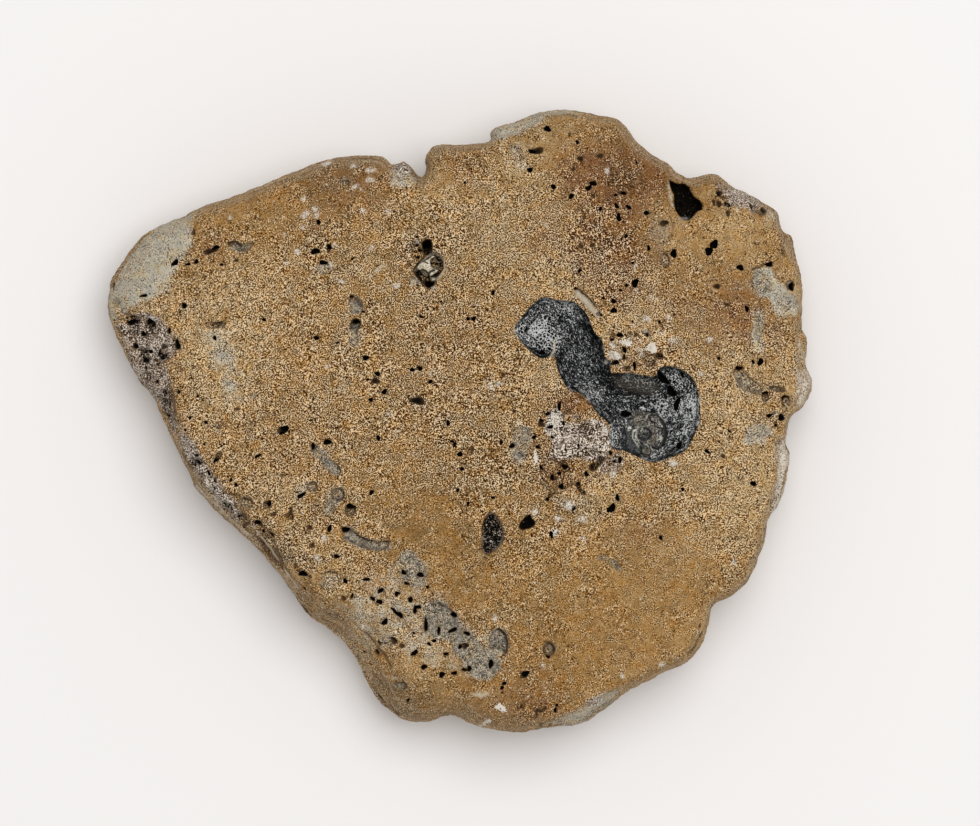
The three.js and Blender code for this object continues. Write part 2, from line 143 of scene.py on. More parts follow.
# Pits and worn runs with a drawn outline: (depth in mm, width of the wall in mm, outline). The
# sharpest come first.
VUGS = [
    (4.5, 0.6, [(668, 181), (676, 184), (684, 184), (689, 188), (690, 192), (694, 198), (699, 201),
                (702, 205), (702, 211), (697, 212), (693, 217), (688, 222), (683, 221), (678, 217),
                (674, 211), (673, 204), (673, 196), (670, 189)]),
    (2.2, 0.7, [(489, 511), (495, 513), (501, 521), (504, 532), (504, 539), (498, 548), (489, 554),
                (483, 553), (481, 546), (482, 538), (481, 529), (483, 520)]),
    (3.0, 0.5, [(525, 516), (530, 513), (532, 518), (536, 521), (534, 526), (528, 529), (522, 530),
                (518, 527), (520, 521)]),
    (2.6, 0.6, [(421, 244), (423, 241), (427, 239), (431, 240), (433, 244), (433, 250), (432, 255),
                (428, 258), (424, 257), (422, 251)]),
    (1.1, 1.0, [(410, 246), (414, 240), (420, 240), (423, 250), (424, 257), (418, 262), (411, 258)]),
    (2.2, 0.5, [(413, 270), (418, 262), (426, 256), (434, 252), (440, 254), (444, 261), (444, 270),
                (438, 279), (434, 287), (429, 290), (422, 285), (416, 278)]),
    (1.2, 0.7, [(641, 358), (646, 354), (653, 354), (657, 359), (655, 364), (650, 368), (644, 364)]),
    (1.9, 0.4, [(653, 357), (656, 353), (661, 353), (663, 357), (660, 360), (655, 359)]),
    (1.6, 0.4, [(291, 506), (294, 507), (293, 512), (295, 517), (294, 520), (290, 519), (288, 516),
                (285, 514), (289, 512)]),
    (1.5, 0.4, [(553, 442), (558, 445), (562, 439), (566, 439), (562, 445), (560, 449), (555, 446)]),
    (1.9, 0.5, [(588, 467), (590, 463), (595, 462), (597, 457), (602, 455), (606, 458), (602, 464),
                (598, 467), (595, 471), (590, 471)]),
    (1.6, 0.4, [(575, 481), (580, 481), (581, 488), (586, 491), (585, 495), (580, 493), (577, 489),
                (574, 484)]),
    (1.5, 0.4, [(621, 368), (625, 366), (631, 365), (630, 369), (630, 373), (627, 375), (624, 371)]),
    (1.2, 1.2, [(122, 318), (135, 314), (150, 314), (160, 317), (170, 330), (180, 341), (180, 348),
                (172, 353), (167, 362), (158, 366), (156, 376), (146, 370), (136, 352), (124, 334)]),
    (1.0, 1.2, [(160, 380), (168, 378), (175, 392), (178, 412), (176, 432), (168, 428), (163, 402)]),
    (0.8, 1.2, [(178, 436), (190, 440), (212, 470), (232, 496), (248, 516), (240, 524), (222, 504),
                (202, 478), (184, 452)]),
    (0.9, 1.0, [(252, 518), (262, 520), (276, 538), (284, 560), (290, 574), (276, 566), (262, 548)]),
    (0.35, 1.0, [(372, 560), (402, 548), (424, 566), (436, 590), (462, 606), (476, 626), (508, 628),
                 (512, 646), (500, 676), (478, 682), (452, 668), (420, 674), (384, 668), (362, 640),
                 (366, 604)]),
    (0.7, 0.5, [(426, 604), (440, 600), (454, 612), (461, 628), (448, 638), (432, 630), (426, 616)]),
    (0.6, 0.5, [(448, 632), (466, 628), (478, 640), (493, 652), (500, 668), (486, 678), (470, 670),
                (452, 648)]),
    (1.2, 0.6, [(490, 630), (498, 627), (504, 631), (508, 643), (506, 653), (502, 651), (497, 645),
                (490, 646), (487, 640)]),
    (1.0, 0.7, [(345, 527), (350, 527), (360, 535), (370, 539), (380, 541), (391, 540), (389, 548),
                (378, 551), (365, 548), (355, 544), (343, 538)]),
    (1.0, 0.8, [(733, 368), (738, 365), (742, 371), (748, 378), (755, 383), (763, 388), (760, 394),
                (750, 394), (741, 390), (735, 382), (731, 373)]),
    (0.9, 0.6, [(228, 243), (236, 241), (242, 245), (247, 243), (255, 244), (251, 249), (244, 253),
                (236, 251), (230, 248)]),
    (1.1, 0.8, [(428, 600), (436, 600), (446, 606), (457, 614), (455, 619), (446, 616), (434, 612),
                (428, 607)]),
    (0.5, 1.2, [(566, 396), (575, 394), (588, 400), (596, 409), (600, 420), (585, 420), (570, 417),
                (562, 408)]),
    (0.9, 1.6, [(537, 438), (548, 440), (553, 450), (553, 459), (566, 460), (580, 458), (586, 470),
                (580, 482), (562, 490), (550, 486), (543, 472), (539, 454)]),
    (0.7, 0.7, [(310, 443), (317, 443), (326, 455), (338, 463), (342, 471), (337, 477), (330, 474),
                (320, 460), (311, 450)]),
    (0.9, 0.6, [(746, 198), (752, 190), (754, 200), (757, 214), (749, 212)]),
]
SHARP_VUGS = VUGS[:15]

# Shallow gutters that worms left: (u, v, width, length, turn in degrees, depth in mm).
GUTTERS = [
    (217, 326, 20, 7, 5, 0.8), (357, 306, 16, 18, 20, 0.6), (356, 325, 10, 14, -10, 0.9),
    (354, 338, 12, 22, 0, 0.4), (338, 494, 14, 14, 0, 0.9), (329, 508, 11, 20, -35, 0.6),
    (313, 486, 10, 12, -30, 0.8), (351, 510, 13, 12, 0, 1.1), (330, 580, 24, 20, 0, 0.4),
    (399, 685, 16, 10, 0, 0.8), (587, 303, 9, 36, 42, 0.6), (664, 261, 11, 14, 0, 0.7),
    (601, 557, 12, 6, 0, 0.5), (615, 564, 7, 18, 45, 0.5), (574, 273, 11, 18, 0, 0.3),
    (755, 432, 30, 14, 12, 0.5), (758, 325, 10, 40, 0, 0.4), (760, 284, 22, 26, 20, 0.5),
    (785, 303, 22, 22, 0, 0.4), (519, 156, 14, 32, 38, 0.3), (246, 502, 16, 12, -20, 0.7),
    (576, 418, 12, 8, 0, 0.5), (660, 232, 24, 30, 30, 0.3), (325, 269, 14, 13, 0, 0.5),
    (762, 212, 10, 8, 0, 0.8), (733, 202, 14, 14, 0, 0.4), (548, 648, 12, 13, 0, 1.1),
    (785, 403, 10, 12, 0, 1.0), (764, 397, 8, 9, 0, 0.9), (116, 303, 9, 8, 0, 0.7),
    (777, 389, 18, 6, -10, 0.6), (268, 504, 9, 9, 0, 0.8), (220, 455, 6, 10, -35, 0.7),
    (390, 641, 24, 12, -15, 0.5), (219, 428, 7, 10, 0, 0.4), (426, 626, 9, 24, 0, 0.5),
    (414, 281, 11, 10, 0, 0.6), (345, 182, 10, 9, 0, 0.3), (789, 286, 9, 11, 0, 0.7),
    (254, 396, 8, 7, 0, 0.4),
]

# Parts of the rim that stand lower than the face: (depth in mm, width of the step, outline).
LEDGES = [
    (4.5, 0.9, [(799, 326), (816, 330), (818, 362), (806, 372), (800, 366), (796, 345)]),
    (3.0, 1.4, [(798, 368), (818, 368), (820, 400), (800, 416), (790, 408), (800, 392)]),
    (3.5, 1.6, [(776, 441), (795, 436), (800, 460), (792, 492), (776, 524), (766, 516),
                (770, 500), (777, 480), (777, 462)]),
    (3.0, 1.0, [(782, 226), (800, 230), (802, 262), (792, 262), (784, 246)]),
    (1.6, 1.0, [(486, 120), (540, 104), (584, 104), (578, 112), (545, 116), (520, 133),
                (498, 138), (486, 138)]),
    (2.5, 0.9, [(410, 158), (426, 158), (428, 172), (420, 184), (412, 176)]),
    (2.4, 1.6, [(544, 736), (552, 724), (580, 709), (606, 694), (634, 684), (634, 700),
                (600, 724), (580, 736)]),
]

# Worm borings seen end on, nearly black inside: (u, v, width, length, turn in degrees).
BORINGS = [
    (176, 263, 8, 5, 25), (189, 265, 6, 3, 10), (197, 262, 4, 6, -20), (222, 265, 4, 3, 0),
    (217, 248, 7, 4, 15), (144, 296, 9, 3, 10), (185, 306, 6, 5, 0), (265, 320, 4, 4, 0),
    (216, 338, 3, 6, 0), (150, 322, 8, 8, 0), (170, 331, 4, 6, 0), (178, 345, 7, 9, 0),
    (143, 334, 6, 6, 0), (133, 347, 6, 6, 0), (152, 352, 4, 4, 0), (158, 364, 5, 3, 0),
    (141, 360, 3, 3, 0), (130, 324, 8, 6, 0), (121, 328, 4, 4, 0), (157, 382, 6, 5, 0),
    (170, 405, 3, 14, 0), (179, 392, 5, 4, 0), (199, 396, 3, 3, 0), (191, 418, 3, 4, 0),
    (207, 422, 5, 3, 0), (178, 421, 4, 3, 0), (174, 427, 6, 4, 0), (217, 460, 4, 7, -30),
    (259, 456, 8, 3, 30), (287, 428, 6, 6, 0), (283, 433, 6, 3, 20), (200, 463, 4, 4, 0),
    (210, 473, 3, 6, 20), (216, 481, 3, 3, 0), (232, 480, 3, 4, 0), (237, 485, 3, 5, 0),
    (232, 509, 4, 6, 0), (270, 503, 6, 5, 0), (259, 522, 8, 4, -20), (264, 531, 3, 4, 0),
    (273, 534, 8, 2, -45), (263, 543, 5, 4, 0), (304, 573, 8, 6, 0), (305, 588, 4, 4, 0),
    (198, 455, 4, 3, 0), (205, 444, 3, 3, 0), (186, 430, 4, 3, 0), (330, 528, 4, 8, 0),
    (346, 529, 8, 5, 0), (337, 556, 7, 4, -20), (346, 580, 4, 6, 0), (302, 495, 10, 4, 25),
    (351, 506, 9, 6, 0), (372, 492, 4, 6, -25), (328, 442, 9, 5, 20), (314, 446, 4, 6, 0),
    (317, 338, 6, 4, -30), (338, 343, 4, 3, 30), (357, 322, 9, 4, 0), (364, 312, 4, 3, 0),
    (366, 358, 7, 5, -30), (378, 374, 7, 4, -15), (385, 392, 6, 5, 20), (368, 380, 3, 3, 0),
    (371, 400, 4, 5, 0), (413, 370, 5, 4, 20), (420, 369, 5, 5, -30), (431, 382, 5, 4, 0),
    (410, 396, 2, 2, 0), (422, 317, 5, 3, -20), (474, 319, 6, 4, 20), (468, 319, 5, 3, -20),
    (493, 293, 4, 5, 0), (441, 302, 3, 2, 0), (434, 309, 3, 2, 0), (448, 423, 4, 6, 0),
    (452, 441, 4, 3, 20), (455, 444, 4, 5, -20), (460, 454, 6, 5, -20), (462, 469, 6, 3, 10),
    (501, 442, 4, 5, -20), (379, 438, 4, 6, 0), (458, 490, 3, 5, 0), (493, 497, 6, 2, 0),
    (468, 503, 3, 5, 0), (316, 252, 9, 6, 0), (330, 248, 5, 6, 30), (319, 223, 5, 5, 0),
    (324, 263, 8, 4, 0), (353, 260, 3, 3, 0), (353, 297, 6, 3, 0), (465, 184, 3, 3, 0),
    (427, 245, 9, 10, 0), (417, 238, 4, 3, 0), (417, 246, 4, 3, 0), (420, 251, 5, 3, -15),
    (418, 258, 4, 3, 0), (430, 285, 9, 8, 0), (418, 286, 3, 2, 0), (423, 286, 2, 3, 0),
    (421, 574, 8, 4, -10), (404, 572, 4, 6, 20), (407, 583, 6, 3, -10), (428, 586, 4, 3, -20),
    (367, 579, 9, 3, 0), (381, 590, 7, 4, 40), (397, 593, 5, 5, 0), (411, 599, 4, 7, 0),
    (419, 606, 5, 4, 0), (415, 609, 4, 8, 5), (353, 595, 3, 6, -20), (380, 601, 6, 5, 0),
    (373, 598, 8, 3, -30), (400, 614, 8, 5, -35), (394, 609, 7, 3, -45), (385, 621, 5, 8, -30),
    (414, 632, 3, 3, 0), (426, 624, 3, 16, 0), (439, 630, 3, 8, 0), (453, 629, 9, 4, 20),
    (467, 633, 8, 3, -25), (460, 646, 4, 4, 0), (429, 643, 4, 4, 0), (434, 640, 4, 4, 0),
    (415, 652, 9, 4, 45), (446, 653, 6, 3, 0), (377, 652, 5, 5, -40), (370, 664, 6, 2, -30),
    (424, 666, 8, 4, 35), (442, 674, 6, 6, 0), (454, 672, 6, 4, 0), (464, 669, 6, 3, 0),
    (469, 668, 4, 5, 0), (491, 663, 4, 10, 0), (504, 682, 4, 4, 0), (502, 687, 4, 4, 0),
    (364, 652, 7, 2, 0), (454, 614, 8, 4, -30), (525, 672, 8, 5, 25), (548, 655, 4, 5, 0),
    (555, 709, 3, 6, -10), (556, 704, 4, 3, 0), (408, 701, 3, 7, -25), (547, 130, 7, 6, 0),
    (577, 143, 4, 4, 0), (531, 153, 6, 4, -25), (530, 171, 5, 6, -20), (636, 163, 2, 4, 0),
    (593, 184, 7, 5, 0), (588, 189, 8, 4, 15), (553, 188, 7, 4, -25), (571, 197, 6, 5, 30),
    (600, 210, 4, 4, 0), (615, 196, 4, 3, 0), (622, 194, 8, 3, 0), (616, 207, 6, 4, -45),
    (628, 208, 6, 4, -35), (618, 218, 5, 8, 0), (646, 214, 6, 4, 25), (625, 237, 5, 3, 20),
    (648, 249, 4, 6, 0), (673, 254, 6, 9, -20), (632, 264, 4, 3, 0), (579, 271, 5, 4, 30),
    (634, 284, 7, 8, -40), (626, 286, 4, 3, 0), (620, 291, 4, 2, 0), (603, 299, 4, 3, 0),
    (575, 289, 4, 3, 0), (613, 302, 7, 4, -35), (613, 311, 6, 6, 0), (599, 315, 6, 4, -30),
    (619, 335, 6, 5, 0), (659, 322, 3, 4, 0), (632, 322, 2, 3, 0), (646, 336, 3, 3, 0),
    (611, 340, 4, 4, 0), (614, 363, 10, 4, 25), (634, 366, 4, 8, 0), (624, 350, 4, 6, 30),
    (623, 357, 3, 6, -20), (713, 245, 7, 10, -10), (708, 252, 9, 7, 10), (739, 268, 7, 6, 0),
    (769, 265, 6, 6, 0), (790, 287, 6, 7, 0), (746, 309, 4, 8, 35), (726, 205, 6, 6, 0),
    (750, 206, 4, 10, 0), (762, 211, 5, 7, 0), (766, 207, 5, 4, 30), (718, 359, 3, 4, 0),
    (759, 362, 6, 7, 0), (752, 362, 3, 5, 0), (738, 368, 7, 4, 0), (784, 397, 8, 4, 0),
    (764, 393, 7, 3, 0), (781, 418, 9, 6, -30), (775, 426, 4, 3, 0), (768, 416, 5, 4, 0),
    (773, 413, 4, 3, 0), (728, 431, 3, 3, 0), (706, 451, 6, 4, -35), (718, 441, 3, 2, 0),
    (752, 483, 6, 5, 0), (660, 537, 3, 6, 0), (682, 489, 4, 4, 0), (559, 406, 4, 9, 0),
    (548, 414, 6, 4, 0), (550, 427, 6, 4, 0), (563, 423, 3, 5, 0), (541, 420, 5, 3, 0),
    (552, 437, 5, 3, 0), (578, 446, 3, 4, 0), (538, 447, 7, 3, -25), (512, 446, 6, 5, 0),
    (534, 437, 4, 5, 0), (610, 453, 3, 5, 0), (614, 461, 4, 3, 0), (619, 460, 4, 7, -20),
    (586, 474, 4, 6, 0), (564, 466, 7, 5, 0), (559, 473, 4, 4, 0), (552, 477, 4, 7, 0),
    (561, 486, 6, 5, 40), (573, 508, 4, 5, 0), (617, 497, 4, 7, 0), (611, 508, 7, 10, -30),
    (547, 499, 3, 5, 30), (551, 534, 4, 7, 0), (541, 467, 3, 7, 20), (625, 414, 11, 6, -20),
    (662, 378, 7, 16, 33), (671, 391, 7, 12, 45), (676, 404, 6, 12, -20), (681, 375, 3, 9, 15),
    (679, 445, 4, 10, -25), (542, 353, 8, 4, 0), (526, 330, 3, 7, -25),
]

# Shallow, brown or grey inside: worn borings and dents.
DENTS = [
    (194, 232, 5, 8, 0), (211, 252, 14, 6, 15), (237, 261, 5, 4, 0), (165, 347, 6, 6, 0),
    (168, 384, 6, 4, 0), (238, 409, 6, 4, 0), (283, 475, 5, 3, 0), (274, 514, 8, 4, 25),
    (310, 527, 5, 6, 0), (313, 545, 5, 6, 0), (344, 598, 5, 8, 0), (379, 643, 4, 7, 0),
    (394, 640, 8, 7, 0), (402, 645, 7, 5, -30), (418, 401, 15, 8, 0), (503, 375, 4, 6, 0),
    (472, 450, 4, 9, 0), (376, 381, 8, 7, 0), (430, 253, 7, 5, 0), (522, 705, 6, 6, 0),
    (610, 129, 4, 3, 0), (537, 152, 13, 7, 0), (569, 136, 3, 5, 0), (580, 160, 6, 6, 0),
    (600, 157, 6, 5, 0), (573, 170, 4, 6, 0), (593, 197, 4, 5, 0), (584, 218, 5, 3, 0),
    (580, 247, 5, 6, 0), (592, 246, 6, 5, 0), (663, 224, 8, 6, 0), (716, 287, 6, 6, 0),
    (726, 305, 7, 4, 0), (754, 244, 4, 3, 0), (765, 255, 3, 3, 0), (783, 253, 6, 8, 0),
    (727, 214, 5, 6, 0), (722, 456, 5, 4, 0), (635, 335, 5, 5, 0), (645, 333, 6, 5, 0),
    (719, 194, 8, 7, 0), (713, 203, 4, 7, 0), (718, 205, 5, 8, 0), (722, 198, 4, 4, 0),
    (541, 424, 8, 6, 0), (555, 478, 4, 5, 0), (599, 512, 4, 4, 0), (550, 495, 6, 5, 0),
    (700, 625, 4, 7, 0), (494, 337, 3, 5, 0), (599, 157, 6, 5, 0), (283, 430, 10, 7, 20),
    (514, 411, 4, 4, 0), (507, 405, 3, 3, 0), (465, 645, 8, 6, 0), (524, 674, 9, 6, 25),
]

# Thin dark lines, cut a little into the ground: (width in squares, points). Some are cracks;
# many are painted shadow along the edges of gutters, pits and ledges.
CRACKS_AND_SHADOW_LINES = [
    (1.6, [(563, 417), (564, 412), (567, 410), (570, 411)]),
    (1.5, [(568, 457), (573, 455), (579, 457)]),
    (1.6, [(560, 465), (563, 462), (568, 461)]),
    (1.0, [(541, 478), (549, 484), (557, 493)]),
    (0.8, [(539, 481), (547, 487), (553, 494)]),
    (1.2, [(576, 494), (584, 494)]),
    (2.2, [(206, 325), (211, 323), (219, 324), (225, 321)]),
    (3.0, [(229, 244), (236, 243), (242, 246)]),
    (1.2, [(120, 300), (121, 304), (118, 308)]),
    (1.4, [(701, 631), (696, 640), (694, 646)]),
    (2.4, [(694, 646), (691, 649), (687, 653)]),
    (1.4, [(769, 499), (771, 508)]),
    (1.4, [(774, 443), (775, 452)]),
    (1.8, [(783, 441), (789, 440)]),
    (1.2, [(749, 426), (755, 423), (762, 418)]),
    (1.8, [(751, 270), (760, 267), (765, 264)]),
    (1.2, [(783, 230), (784, 238), (781, 250), (783, 257)]),
    (1.2, [(800, 328), (806, 332)]),
    (2.6, [(545, 641), (551, 642), (554, 647), (553, 652)]),
    (2.6, [(490, 647), (494, 645), (499, 648)]),
    (2.4, [(499, 628), (505, 634), (507, 643), (505, 652)]),
    (3.0, [(545, 707), (541, 710), (537, 709)]),
    (2.4, [(537, 709), (536, 713), (536, 719)]),
    (4.0, [(294, 562), (299, 569), (304, 573)]),
    (1.2, [(306, 575), (312, 577)]),
    (2.4, [(440, 603), (448, 608), (456, 614)]),
    (2.6, [(351, 328), (353, 322), (357, 320), (360, 323), (361, 328)]),
    (1.6, [(350, 303), (352, 298), (357, 301), (361, 306)]),
    (1.4, [(742, 371), (748, 378), (755, 383), (763, 388)]),
    (1.5, [(350, 528), (360, 536), (370, 540), (380, 541), (391, 541)]),
    (1.3, [(321, 573), (332, 571), (341, 574), (345, 578)]),
    (1.2, [(341, 488), (345, 493), (343, 499)]),
    (1.4, [(313, 482), (317, 484), (318, 488), (314, 492)]),
    (1.0, [(338, 464), (342, 471), (338, 477)]),
    (2.2, [(235, 494), (242, 495), (248, 500)]),
    (1.2, [(252, 498), (254, 504), (250, 508)]),
    (1.3, [(215, 425), (219, 423), (221, 428)]),
    (1.0, [(523, 662), (530, 657), (537, 652)]),
    (1.5, [(588, 403), (597, 412), (600, 421)]),
    (1.3, [(568, 391), (575, 392), (580, 397), (588, 403)]),
    (1.8, [(413, 272), (416, 271), (418, 274), (421, 280), (425, 283)]),
    (1.8, [(408, 260), (410, 263)]),
    (1.3, [(407, 265), (410, 267)]),
    (1.4, [(517, 708), (518, 703), (522, 701), (525, 704), (523, 708)]),
    (1.0, [(655, 244), (664, 244), (671, 236), (673, 226), (669, 218)]),
    (1.4, [(664, 254), (668, 258), (668, 266), (664, 268)]),
    (1.0, [(664, 367), (676, 368), (684, 372), (692, 379)]),
    (1.0, [(301, 597), (309, 603), (321, 615)]),
    (1.6, [(305, 616), (313, 620), (324, 627)]),
    (1.2, [(395, 675), (403, 680), (407, 687)]),
    (1.6, [(434, 718), (446, 716)]),
    (1.2, [(768, 389), (774, 387), (783, 391)]),
    (1.4, [(348, 182), (350, 186)]),
    (1.0, [(268, 547), (276, 556), (281, 566)]),
    (1.0, [(210, 486), (222, 505), (236, 520), (250, 532)]),
    (1.2, [(575, 288), (588, 298), (600, 312)]),
    (1.4, [(525, 336), (529, 326), (539, 314), (547, 312)]),
]

# Thin pale lines and streaks.
STREAKS = [
    (1.4, [(415, 271), (421, 263), (428, 257), (434, 253), (440, 256), (444, 262), (445, 269),
           (442, 275), (437, 279), (432, 282)]),
    (5.0, [(577, 294), (586, 303), (597, 315)]),
    (1.2, [(544, 224), (548, 230)]),
    (2.4, [(370, 277), (377, 271), (385, 266)]),
    (1.2, [(519, 460), (510, 450)]),
    (1.2, [(255, 527), (264, 539), (273, 550), (280, 562)]),
    (1.0, [(299, 597), (308, 601), (322, 616)]),
    (1.6, [(365, 668), (376, 674), (386, 678), (398, 677)]),
    (1.4, [(207, 478), (214, 495), (224, 512), (240, 528), (250, 536)]),
    (1.4, [(284, 568), (292, 580), (301, 592)]),
    (1.6, [(668, 187), (670, 197), (672, 208)]),
    (2.0, [(554, 341), (554, 351), (550, 357)]),
    (1.6, [(780, 437), (786, 436)]),
    (1.2, [(773, 444), (774, 453)]),
    (3.0, [(474, 693), (482, 695), (487, 692)]),
    (2.0, [(412, 284), (417, 281)]),
]

# Rough, lumpy ground: (outline, height of its lumps in mm).
ROUGH = [
    ([(547, 417), (552, 408), (562, 412), (574, 424), (600, 421), (610, 428), (612, 448),
      (606, 460), (585, 462), (560, 462), (545, 448), (540, 430)], 0.7),
    ([(120, 316), (160, 312), (184, 343), (182, 430), (165, 425), (140, 372)], 1.3),
    ([(712, 184), (745, 186), (782, 212), (784, 226), (740, 214), (712, 210)], 0.6),
    ([(512, 700), (575, 690), (565, 730), (515, 734)], 0.35),
    ([(605, 328), (640, 328), (660, 350), (650, 374), (612, 372)], 0.4),
    ([(390, 160), (412, 158), (420, 178), (410, 188), (392, 182)], 0.5),
    ([(756, 262), (800, 262), (818, 330), (818, 400), (780, 440), (750, 420), (746, 320)], 0.5),
    ([(530, 462), (600, 462), (625, 458), (622, 505), (570, 512), (545, 490)], 0.25),
    ([(512, 414), (532, 414), (532, 470), (512, 468)], 0.3),
    ([(205, 470), (225, 465), (300, 560), (280, 572), (225, 510)], 0.4),
]

# Where the left end is broken open.
LEFT_BREAK = [
    (116, 322), (128, 312), (150, 311), (166, 322), (172, 334), (182, 346), (176, 356),
    (168, 362), (170, 378), (172, 400), (178, 424), (180, 436), (170, 432), (158, 408),
    (146, 390), (130, 368), (120, 345),
]

# Ground eaten away into small deep holes: (depth in mm, outline).
CRUMBLED = [
    (1.0, [(552, 428), (566, 426), (604, 424), (610, 434), (608, 452), (590, 460), (566, 458),
           (556, 450)]),
    (1.3, LEFT_BREAK),
    (1.3, [(184, 438), (192, 440), (212, 470), (236, 502), (286, 566), (278, 572), (246, 534),
           (206, 488), (186, 456)]),
    (1.2, [(606, 334), (626, 328), (642, 342), (658, 352), (654, 366), (630, 372), (612, 366)]),
    (0.9, [(596, 458), (616, 452), (626, 462), (618, 474), (600, 474)]),
    (1.0, [(716, 186), (744, 190), (768, 208), (776, 216), (752, 216), (726, 206)]),
    (1.0, [(392, 166), (400, 160), (412, 162), (414, 176), (400, 182)]),
    (0.7, [(512, 418), (530, 424), (530, 460), (514, 466)]),
    (0.8, [(516, 704), (560, 698), (564, 724), (524, 730)]),
    (0.8, [(540, 462), (586, 466), (588, 496), (556, 504), (542, 486)]),
    (0.7, [(778, 444), (792, 440), (794, 470), (780, 512), (772, 508), (778, 478)]),
]


# ---------------------------------------------------------------------------------------------
# Helpers. x, y and z are arrays of places in mm, and u and v count the photo's pixels.
# ---------------------------------------------------------------------------------------------
def place(u, v):
    return (u - CENTRE_U) * SQUARE, (CENTRE_V - v) * SQUARE


def placed(outline):
    return np.array([place(u, v) for u, v in outline])


def smooth_closed(points, per_side=4):
    """A closed Catmull-Rom curve through the points."""
    before = np.roll(points, 1, axis=0)
    after = np.roll(points, -1, axis=0)
    beyond = np.roll(points, -2, axis=0)
    stretches = []
    for step in range(per_side):
        t = step / per_side
        stretches.append(0.5 * (
            2 * points + (after - before) * t
            + (2 * before - 5 * points + 4 * after - beyond) * t ** 2
            + (3 * points - before - 3 * after + beyond) * t ** 3))
    return np.stack(stretches, axis=1).reshape(-1, 2)


def near_outline(x, y, corners, margin):
    """Which places lie in the corners' box, or within margin mm of it."""
    low, high = corners.min(axis=0) - margin, corners.max(axis=0) + margin
    return (x > low[0]) & (x < high[0]) & (y > low[1]) & (y < high[1])


def near_place(x, y, u, v, reach):
    at_x, at_y = place(u, v)
    return (np.abs(x - at_x) < reach) & (np.abs(y - at_y) < reach)


def squared_distance(x, y, start, end):
    """Squared distance to the straight line between two points."""
    (ax, ay), (bx, by) = start, end
    along_x, along_y = bx - ax, by - ay
    share = ((x - ax) * along_x + (y - ay) * along_y) / (along_x ** 2 + along_y ** 2)
    share = np.clip(share, 0, 1)
    return (x - ax - share * along_x) ** 2 + (y - ay - share * along_y) ** 2


def inside_distance(x, y, corners):
    """Distance in mm to a closed outline, positive inside it."""
    nearest = np.full(x.shape, np.inf)
    inside = np.zeros(x.shape, bool)
    for start, end in zip(corners, np.roll(corners, -1, axis=0)):
        nearest = np.minimum(nearest, squared_distance(x, y, start, end))
        (ax, ay), (bx, by) = start, end
        if ay != by:
            crossing = (ay > y) != (by > y)
            inside ^= crossing & (x < ax + (y - ay) * (bx - ax) / (by - ay))
    return np.where(inside, 1, -1) * np.sqrt(nearest)


def oval(x, y, u, v, width, length, turn):
    """0 in the middle of an oval and 1 on its rim."""
    at_x, at_y = place(u, v)
    px, py = x - at_x, y - at_y
    angle = math.radians(turn)
    across = (px * math.cos(angle) + py * math.sin(angle)) / (width * SQUARE / 2)
    along = (-px * math.sin(angle) + py * math.cos(angle)) / (length * SQUARE / 2)
    return np.sqrt(across ** 2 + along ** 2)


def column_arrays(rows):
    return (np.array(column, float) for column in zip(*rows))


NOISE_VALUES = 4096
NOISE_START = 1000  # cells; keeps their numbers above 0
NOISE_PRIMES = (73856093, 19349663, 83492791)


def lattice_noise(x, y, z, wavelength, seed):
    """Smooth noise from -1 to 1, between random values at the corners of cubes."""
    rng = np.random.default_rng(RANDOM_SEED + seed)
    table = rng.uniform(-1, 1, NOISE_VALUES).astype(np.float32)
    total = 0
    cells, shares = [], []
    for values in (x, y, z):
        scaled = np.asarray(values, np.float32) / wavelength + NOISE_START
        cell = np.floor(scaled)
        share = scaled - cell
        cells.append(cell.astype(np.int64))
        shares.append(share * share * (3 - 2 * share))
    for corner in range(8):
        weight = 1
        key = 0
        for axis, prime in enumerate(NOISE_PRIMES):
            step = corner >> axis & 1
            weight = weight * (shares[axis] if step else 1 - shares[axis])
            key = key ^ (cells[axis] + step) * prime
        total = total + weight * table[(key >> 3) % NOISE_VALUES]
    return total


def rough_noise(x, y, z, wavelength, seed, octaves=3, gain=0.5):
    """Noise with finer and finer noise on it, each by gain weaker than the one before."""
    total = 0
    for octave in range(octaves):
        total = total + gain ** octave * lattice_noise(
            x, y, z, wavelength / 2 ** octave, seed + 31 * octave)
    return total / sum(gain ** octave for octave in range(octaves))


def flat_noise(x, y, wavelength, seed, octaves=3, gain=0.5):
    """The same noise at one level, for forms that are worked out in plan."""
    return rough_noise(x, y, 0 * x, wavelength, seed, octaves, gain)


def smoothstep(low, high, value):
    t = np.clip((value - low) / (high - low), 0, 1)
    return t * t * (3 - 2 * t)


def blobs(x, y, places):
    """A sum of soft round spots: (u, v, radius, height)."""
    total = 0
    for u, v, radius, height in places:
        at_x, at_y = place(u, v)
        total = total + height * np.exp(
            -((x - at_x) ** 2 + (y - at_y) ** 2) / (radius * SQUARE) ** 2)
    return total


def patch(x, y, outline, soft=1.0):
    """1 well inside the outline and 0 outside it, with an edge that is soft mm wide."""
    corners = placed(outline)
    near = near_outline(x, y, corners, soft)
    result = np.zeros(x.shape, np.float32)
    if near.any():
        edge = inside_distance(x[near], y[near], corners)
        result[near] = smoothstep(-soft / 2, soft / 2, edge)
    return result


def line_share(x, y, lines, soft=0.1):
    """1 on the lines and 0 off them, fading over soft mm: (width in squares, points)."""
    share = np.zeros(x.shape, np.float32)
    for width, points in lines:
        ends = placed(points)
        half_width = width * SQUARE / 2
        near = near_outline(x, y, ends, half_width + soft)
        if not near.any():
            continue
        nearest = np.full(x[near].shape, np.inf)
        for start, end in zip(ends, ends[1:]):
            nearest = np.minimum(nearest, squared_distance(x[near], y[near], start, end))
        edge = half_width - np.sqrt(nearest)
        share[near] = np.maximum(share[near], smoothstep(-soft, soft, edge))
    return share


